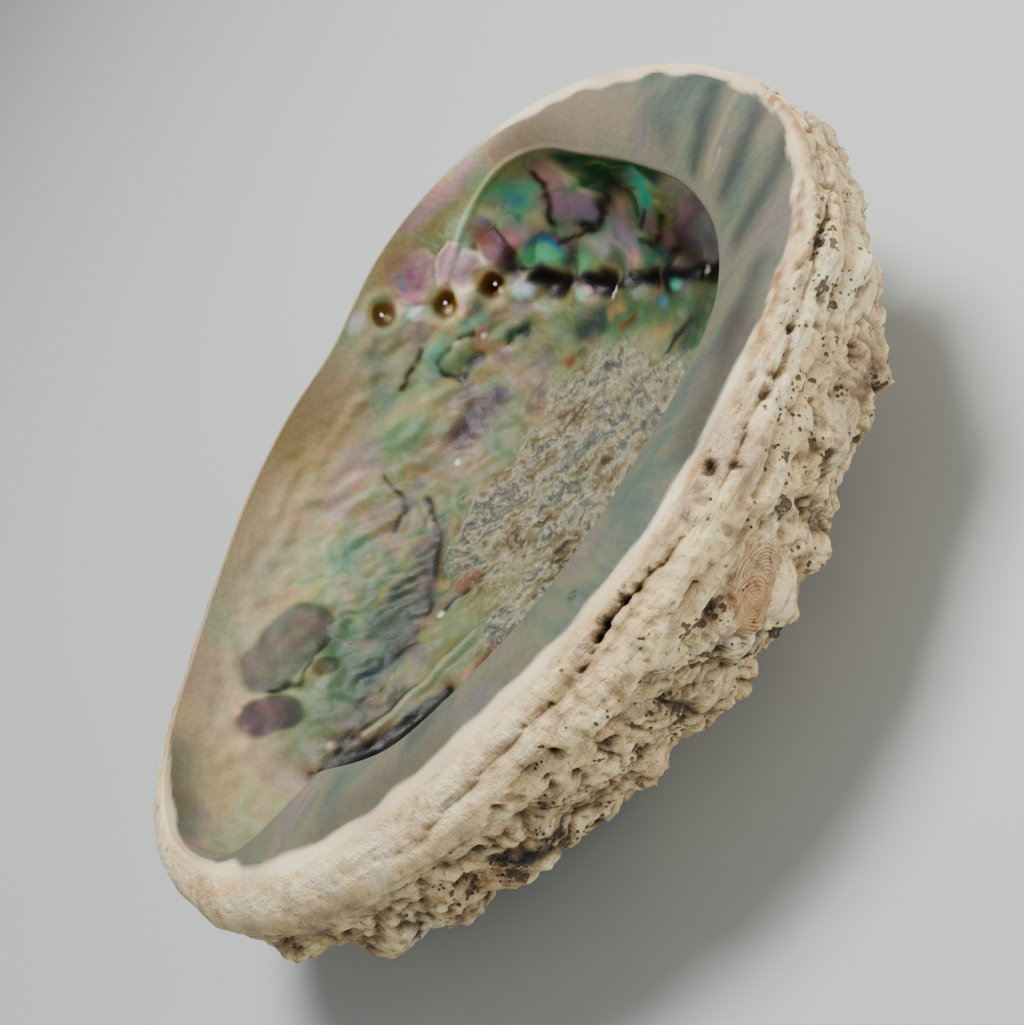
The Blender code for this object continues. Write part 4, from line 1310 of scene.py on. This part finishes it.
class Shading:
    """A material's node tree, with short ways to add and link nodes."""

    def __init__(self, name):
        self.material = bpy.data.materials.new(name)
        self.material.use_nodes = True
        self.tree = self.material.node_tree
        self.shader = self.tree.nodes["Principled BSDF"]

    def add(self, kind, inputs=None, **settings):
        """A node with its settings; each input is a value or the socket that feeds it."""
        node = self.tree.nodes.new(kind)
        for key, value in settings.items():
            setattr(node, key, value)
        for key, value in (inputs or {}).items():
            if isinstance(value, bpy.types.NodeSocket):
                self.tree.links.new(value, node.inputs[key])
            else:
                node.inputs[key].default_value = value
        return node

    def attribute(self, name, output="Fac"):
        return self.add("ShaderNodeAttribute", attribute_name=name).outputs[output]

    def scaled(self, vector, factors):
        return self.add("ShaderNodeVectorMath", {0: vector, 1: factors}, operation="MULTIPLY").outputs[0]

    def noise(self, vector, scale, detail=3.0, roughness=0.5):
        return self.add("ShaderNodeTexNoise", {"Vector": vector, "Scale": scale, "Detail": detail,
                                               "Roughness": roughness}).outputs["Fac"]

    def cells(self, vector, scale):
        node = self.add("ShaderNodeTexVoronoi", {"Vector": vector, "Scale": scale})
        return node.outputs["Distance"]

    def math(self, operation, a, b=0.0, clamp=False):
        return self.add("ShaderNodeMath", {0: a, 1: b}, operation=operation, use_clamp=clamp).outputs[0]

    def times(self, a, b, clamp=False):
        return self.math("MULTIPLY", a, b, clamp)

    def plus(self, a, b):
        return self.math("ADD", a, b)

    def span(self, value, low, high, to_low=0.0, to_high=1.0):
        """The value's span from low to high, stretched over another and held inside it."""
        return self.add("ShaderNodeMapRange", {"Value": value, "From Min": low, "From Max": high,
                                               "To Min": to_low, "To Max": to_high}).outputs[0]

    def mix(self, amount, a, b, kind="MIX"):
        node = self.add("ShaderNodeMix", data_type="RGBA", blend_type=kind)
        for socket, value in ((node.inputs[0], amount), (node.inputs[6], a), (node.inputs[7], b)):
            if isinstance(value, bpy.types.NodeSocket):
                self.tree.links.new(value, socket)
            elif socket == node.inputs[0]:
                socket.default_value = value
            else:
                socket.default_value = (*value, 1.0)
        return node.outputs[2]

    def ramp(self, value, stops):
        node = self.add("ShaderNodeValToRGB", {"Fac": value})
        elements = node.color_ramp.elements
        while len(elements) < len(stops):
            elements.new(0.5)
        for element, (place, colour) in zip(elements, stops):
            element.position = place
            element.color = (*colour, 1.0)
        return node.outputs["Color"]

    def finish(self, colour, roughness, height, distance, constants):
        """Feeds the shader its colour, roughness and bump, and sets its other sockets."""
        shader = self.shader
        self.tree.links.new(colour, shader.inputs["Base Color"])
        self.tree.links.new(roughness, shader.inputs["Roughness"])
        bumped = self.add("ShaderNodeBump", {"Height": height, "Strength": 1.0, "Distance": distance})
        self.tree.links.new(bumped.outputs[0], shader.inputs["Normal"])
        for key, value in constants.items():
            shader.inputs[key].default_value = value
        return self.material


def nacre_material():
    """Painted nacre with a fine shimmer, and the felt of the scar."""
    s = Shading("abalone nacre")
    paint = s.attribute("paint", "Color")
    play = s.attribute("play")
    scar = s.attribute("scar")
    flow = s.attribute("flow", "Vector")
    place = s.add("ShaderNodeTexCoord").outputs["Object"]
    streaks = s.noise(s.scaled(flow, (0.26, 0.26, 0.05)), 1.0, 3.0, 0.55)
    patches = s.noise(place, 160.0, 4.0, 0.6)
    swing = s.plus(s.times(streaks, 0.45), s.times(patches, 0.55))
    shimmer = s.ramp(swing, ((0.3, (0.62, 0.4, 0.6)), (0.4, (0.7, 0.5, 0.56)), (0.46, (0.6, 0.58, 0.42)),
                             (0.52, (0.42, 0.62, 0.5)), (0.59, (0.32, 0.56, 0.56)), (0.66, (0.4, 0.46, 0.7)),
                             (0.74, (0.74, 0.5, 0.6))))
    colour = s.mix(play, paint, shimmer, "OVERLAY")
    grain = s.noise(place, 900.0, 5.0, 0.6)
    speckle = s.ramp(grain, ((0.2, (0.35, 0.35, 0.35)), (0.8, (0.68, 0.68, 0.68))))
    colour = s.mix(0.5, colour, speckle, "OVERLAY")
    felt = s.add("ShaderNodeTexNoise", {"Vector": place, "Scale": 620.0, "Detail": 7.0, "Roughness": 0.78,
                                        "Distortion": 1.1}).outputs["Fac"]
    speck = s.times(s.span(felt, 0.54, 0.7), scar)
    colour = s.mix(s.times(speck, 0.6), colour, srgb(214, 210, 194))
    dark = s.times(s.span(felt, 0.47, 0.33), scar)
    colour = s.mix(s.times(dark, 0.85), colour, srgb(66, 56, 38))
    roughness = s.plus(s.span(patches, 0.3, 0.7, 0.4, 0.55), s.times(scar, 0.3))
    height = s.plus(s.times(grain, 0.35), s.times(felt, scar))
    return s.finish(colour, roughness, height, 0.0003, {"Specular IOR Level": 0.25})


def crust_material():
    """Painted crust with grain, lines, bore holes, ribs of the growths and dirt."""
    s = Shading("abalone crust")
    paint = s.attribute("paint", "Color")
    pitted = s.attribute("pitted")
    bored = s.attribute("bored")
    ridged = s.attribute("ridged")
    ridges = s.attribute("ridges")
    flow = s.attribute("flow", "Vector")
    place = s.add("ShaderNodeTexCoord").outputs["Object"]
    grain = s.noise(place, 500.0, 6.0, 0.65)
    speckle = s.ramp(grain, ((0.25, (0.3, 0.29, 0.28)), (0.75, (0.66, 0.66, 0.66))))
    colour = s.mix(0.8, paint, speckle, "OVERLAY")
    lines = s.noise(s.scaled(flow, (0.12, 0.12, 2.6)), 1.0, 4.0, 0.6)
    line = s.times(s.span(lines, 0.4, 0.3), s.math("SUBTRACT", 1.0, pitted))
    colour = s.mix(s.times(line, 0.35), colour, TAN)
    bores = s.cells(place, 760.0)
    where = s.noise(place, 210.0, 3.0)
    crowd = s.plus(s.span(where, 0.46, 0.64, 0.0, 0.34), s.times(bored, 0.45))
    hole = s.times(s.span(s.math("SUBTRACT", crowd, bores), 0.0, 0.08), pitted, clamp=True)
    # Painted shade: the bore holes darkened to dark brown
    colour = s.mix(s.times(hole, 0.9), colour, srgb(52, 36, 24))
    fibres = s.noise(s.scaled(flow, (0.12, 0.12, 1.4)), 1.0, 5.0, 0.65)
    dark_fibre = s.times(s.span(fibres, 0.46, 0.36), pitted)
    colour = s.mix(s.times(dark_fibre, 0.5), colour, srgb(120, 92, 62))
    wave = s.math("SINE", s.times(ridges, 125.0))
    rib = s.times(s.times(s.span(wave, -0.2, 0.7), ridged), s.span(where, 0.35, 0.55))
    colour = s.mix(s.times(rib, 0.5), colour, srgb(112, 84, 60))
    specks = s.noise(place, 620.0, 8.0, 0.75)
    dirt = s.times(s.span(specks, 0.46, 0.36), s.plus(0.25, s.times(pitted, 0.75)))
    colour = s.mix(s.times(dirt, 0.7), colour, srgb(112, 86, 56))
    colour = s.mix(s.times(s.span(specks, 0.55, 0.66), 0.35), colour, srgb(242, 232, 208))
    raised = s.plus(s.times(lines, 0.12), s.times(fibres, s.times(pitted, 0.8)))
    height = s.math("SUBTRACT", s.plus(grain, raised), s.plus(hole, s.times(rib, 0.6)))
    return s.finish(colour, s.span(grain, 0.3, 0.7, 0.9, 0.75), height, 0.0012, {})


def build_shell():
    """Both skins with their relief and paint, and the open pores cut through them."""
    grid = shell_grid(BEARINGS)
    form = (grid, grid_normals(grid), rim_distances(grid), ring_steps(grid))
    inside = Skin(*form, 0, RIM + 1)
    outside = Skin(*form, RIM - 1, grid.shape[1] - 1)

    in_bowl = bowl_share(inside)
    height = nacre_fine(inside) + in_bowl * nacre_relief(inside.smooth_points, inside.bearing)
    inner = relief_points(inside, height, inside.ring > RIM)
    fine = crust_fine(outside)
    height = fine + crust_relief(outside.smooth_points, outside.bearing)
    outer = relief_points(outside, height, outside.ring < RIM)
    cut_pores(inside, inner, outside, outer)

    floats = {"play": nacre_play(inside), "scar": scar_area(inside.smooth_points) * in_bowl}
    make_piece("abalone_inside", inside, inner, nacre_paint(inside), floats, nacre_material())
    colour = crust_paint(outside, fine)
    make_piece("abalone_outside", outside, outer, colour, crust_floats(outside), crust_material())


def plain_material(name, colour, roughness):
    """A material of one colour, for the floor."""
    material = bpy.data.materials.new(name)
    material.use_nodes = True
    shader = material.node_tree.nodes["Principled BSDF"]
    shader.inputs["Base Color"].default_value = (*colour, 1.0)
    shader.inputs["Roughness"].default_value = roughness
    return material


def make_floor():
    """A plain pale floor, 12 m square."""
    mesh = bpy.data.meshes.new("floor")
    half = 6.0
    corners = [(-half, -half, 0.0), (half, -half, 0.0), (half, half, 0.0), (-half, half, 0.0)]
    mesh.from_pydata(corners, [], [(0, 1, 2, 3)])
    mesh.materials.append(plain_material("pale floor", srgb(186, 191, 188), 0.7))
    floor = bpy.data.objects.new("floor", mesh)
    bpy.context.scene.collection.objects.link(floor)


def make_light(view, name, right, up, back, size, power):
    """A soft square light, placed in mm from the target along the camera's own directions."""
    turn = view.turn.to_matrix()
    offset = turn @ Vector((right, up, back))
    data = bpy.data.lights.new(name, "AREA")
    data.size = size * MM
    data.energy = power
    lamp = bpy.data.objects.new(name, data)
    lamp.location = (Vector(CAMERA_TARGET) + offset) * MM
    lamp.rotation_mode = "QUATERNION"
    lamp.rotation_quaternion = (-offset).to_track_quat("-Z", "Y")
    bpy.context.scene.collection.objects.link(lamp)


def make_camera(view):
    """The camera of the picture."""
    data = bpy.data.cameras.new("camera")
    data.lens = FOCAL_LENGTH
    data.sensor_width = SENSOR
    data.clip_start = 0.01
    data.clip_end = 20.0
    camera = bpy.data.objects.new("camera", data)
    camera.location = view.place * MM
    camera.rotation_mode = "QUATERNION"
    camera.rotation_quaternion = view.turn
    bpy.context.scene.collection.objects.link(camera)
    bpy.context.scene.camera = camera


def set_world():
    """A faint even light from all round."""
    world = bpy.data.worlds.new("studio")
    world.use_nodes = True
    background = world.node_tree.nodes["Background"]
    background.inputs["Color"].default_value = (0.95, 0.97, 1.0, 1.0)
    background.inputs["Strength"].default_value = 0.3
    bpy.context.scene.world = world


build_shell()
make_floor()
studio = View()
make_light(studio, "key", right=-420.0, up=560.0, back=260.0, size=260.0, power=10.5)
make_light(studio, "fill", right=420.0, up=200.0, back=420.0, size=420.0, power=4.5)
make_camera(studio)
set_world()
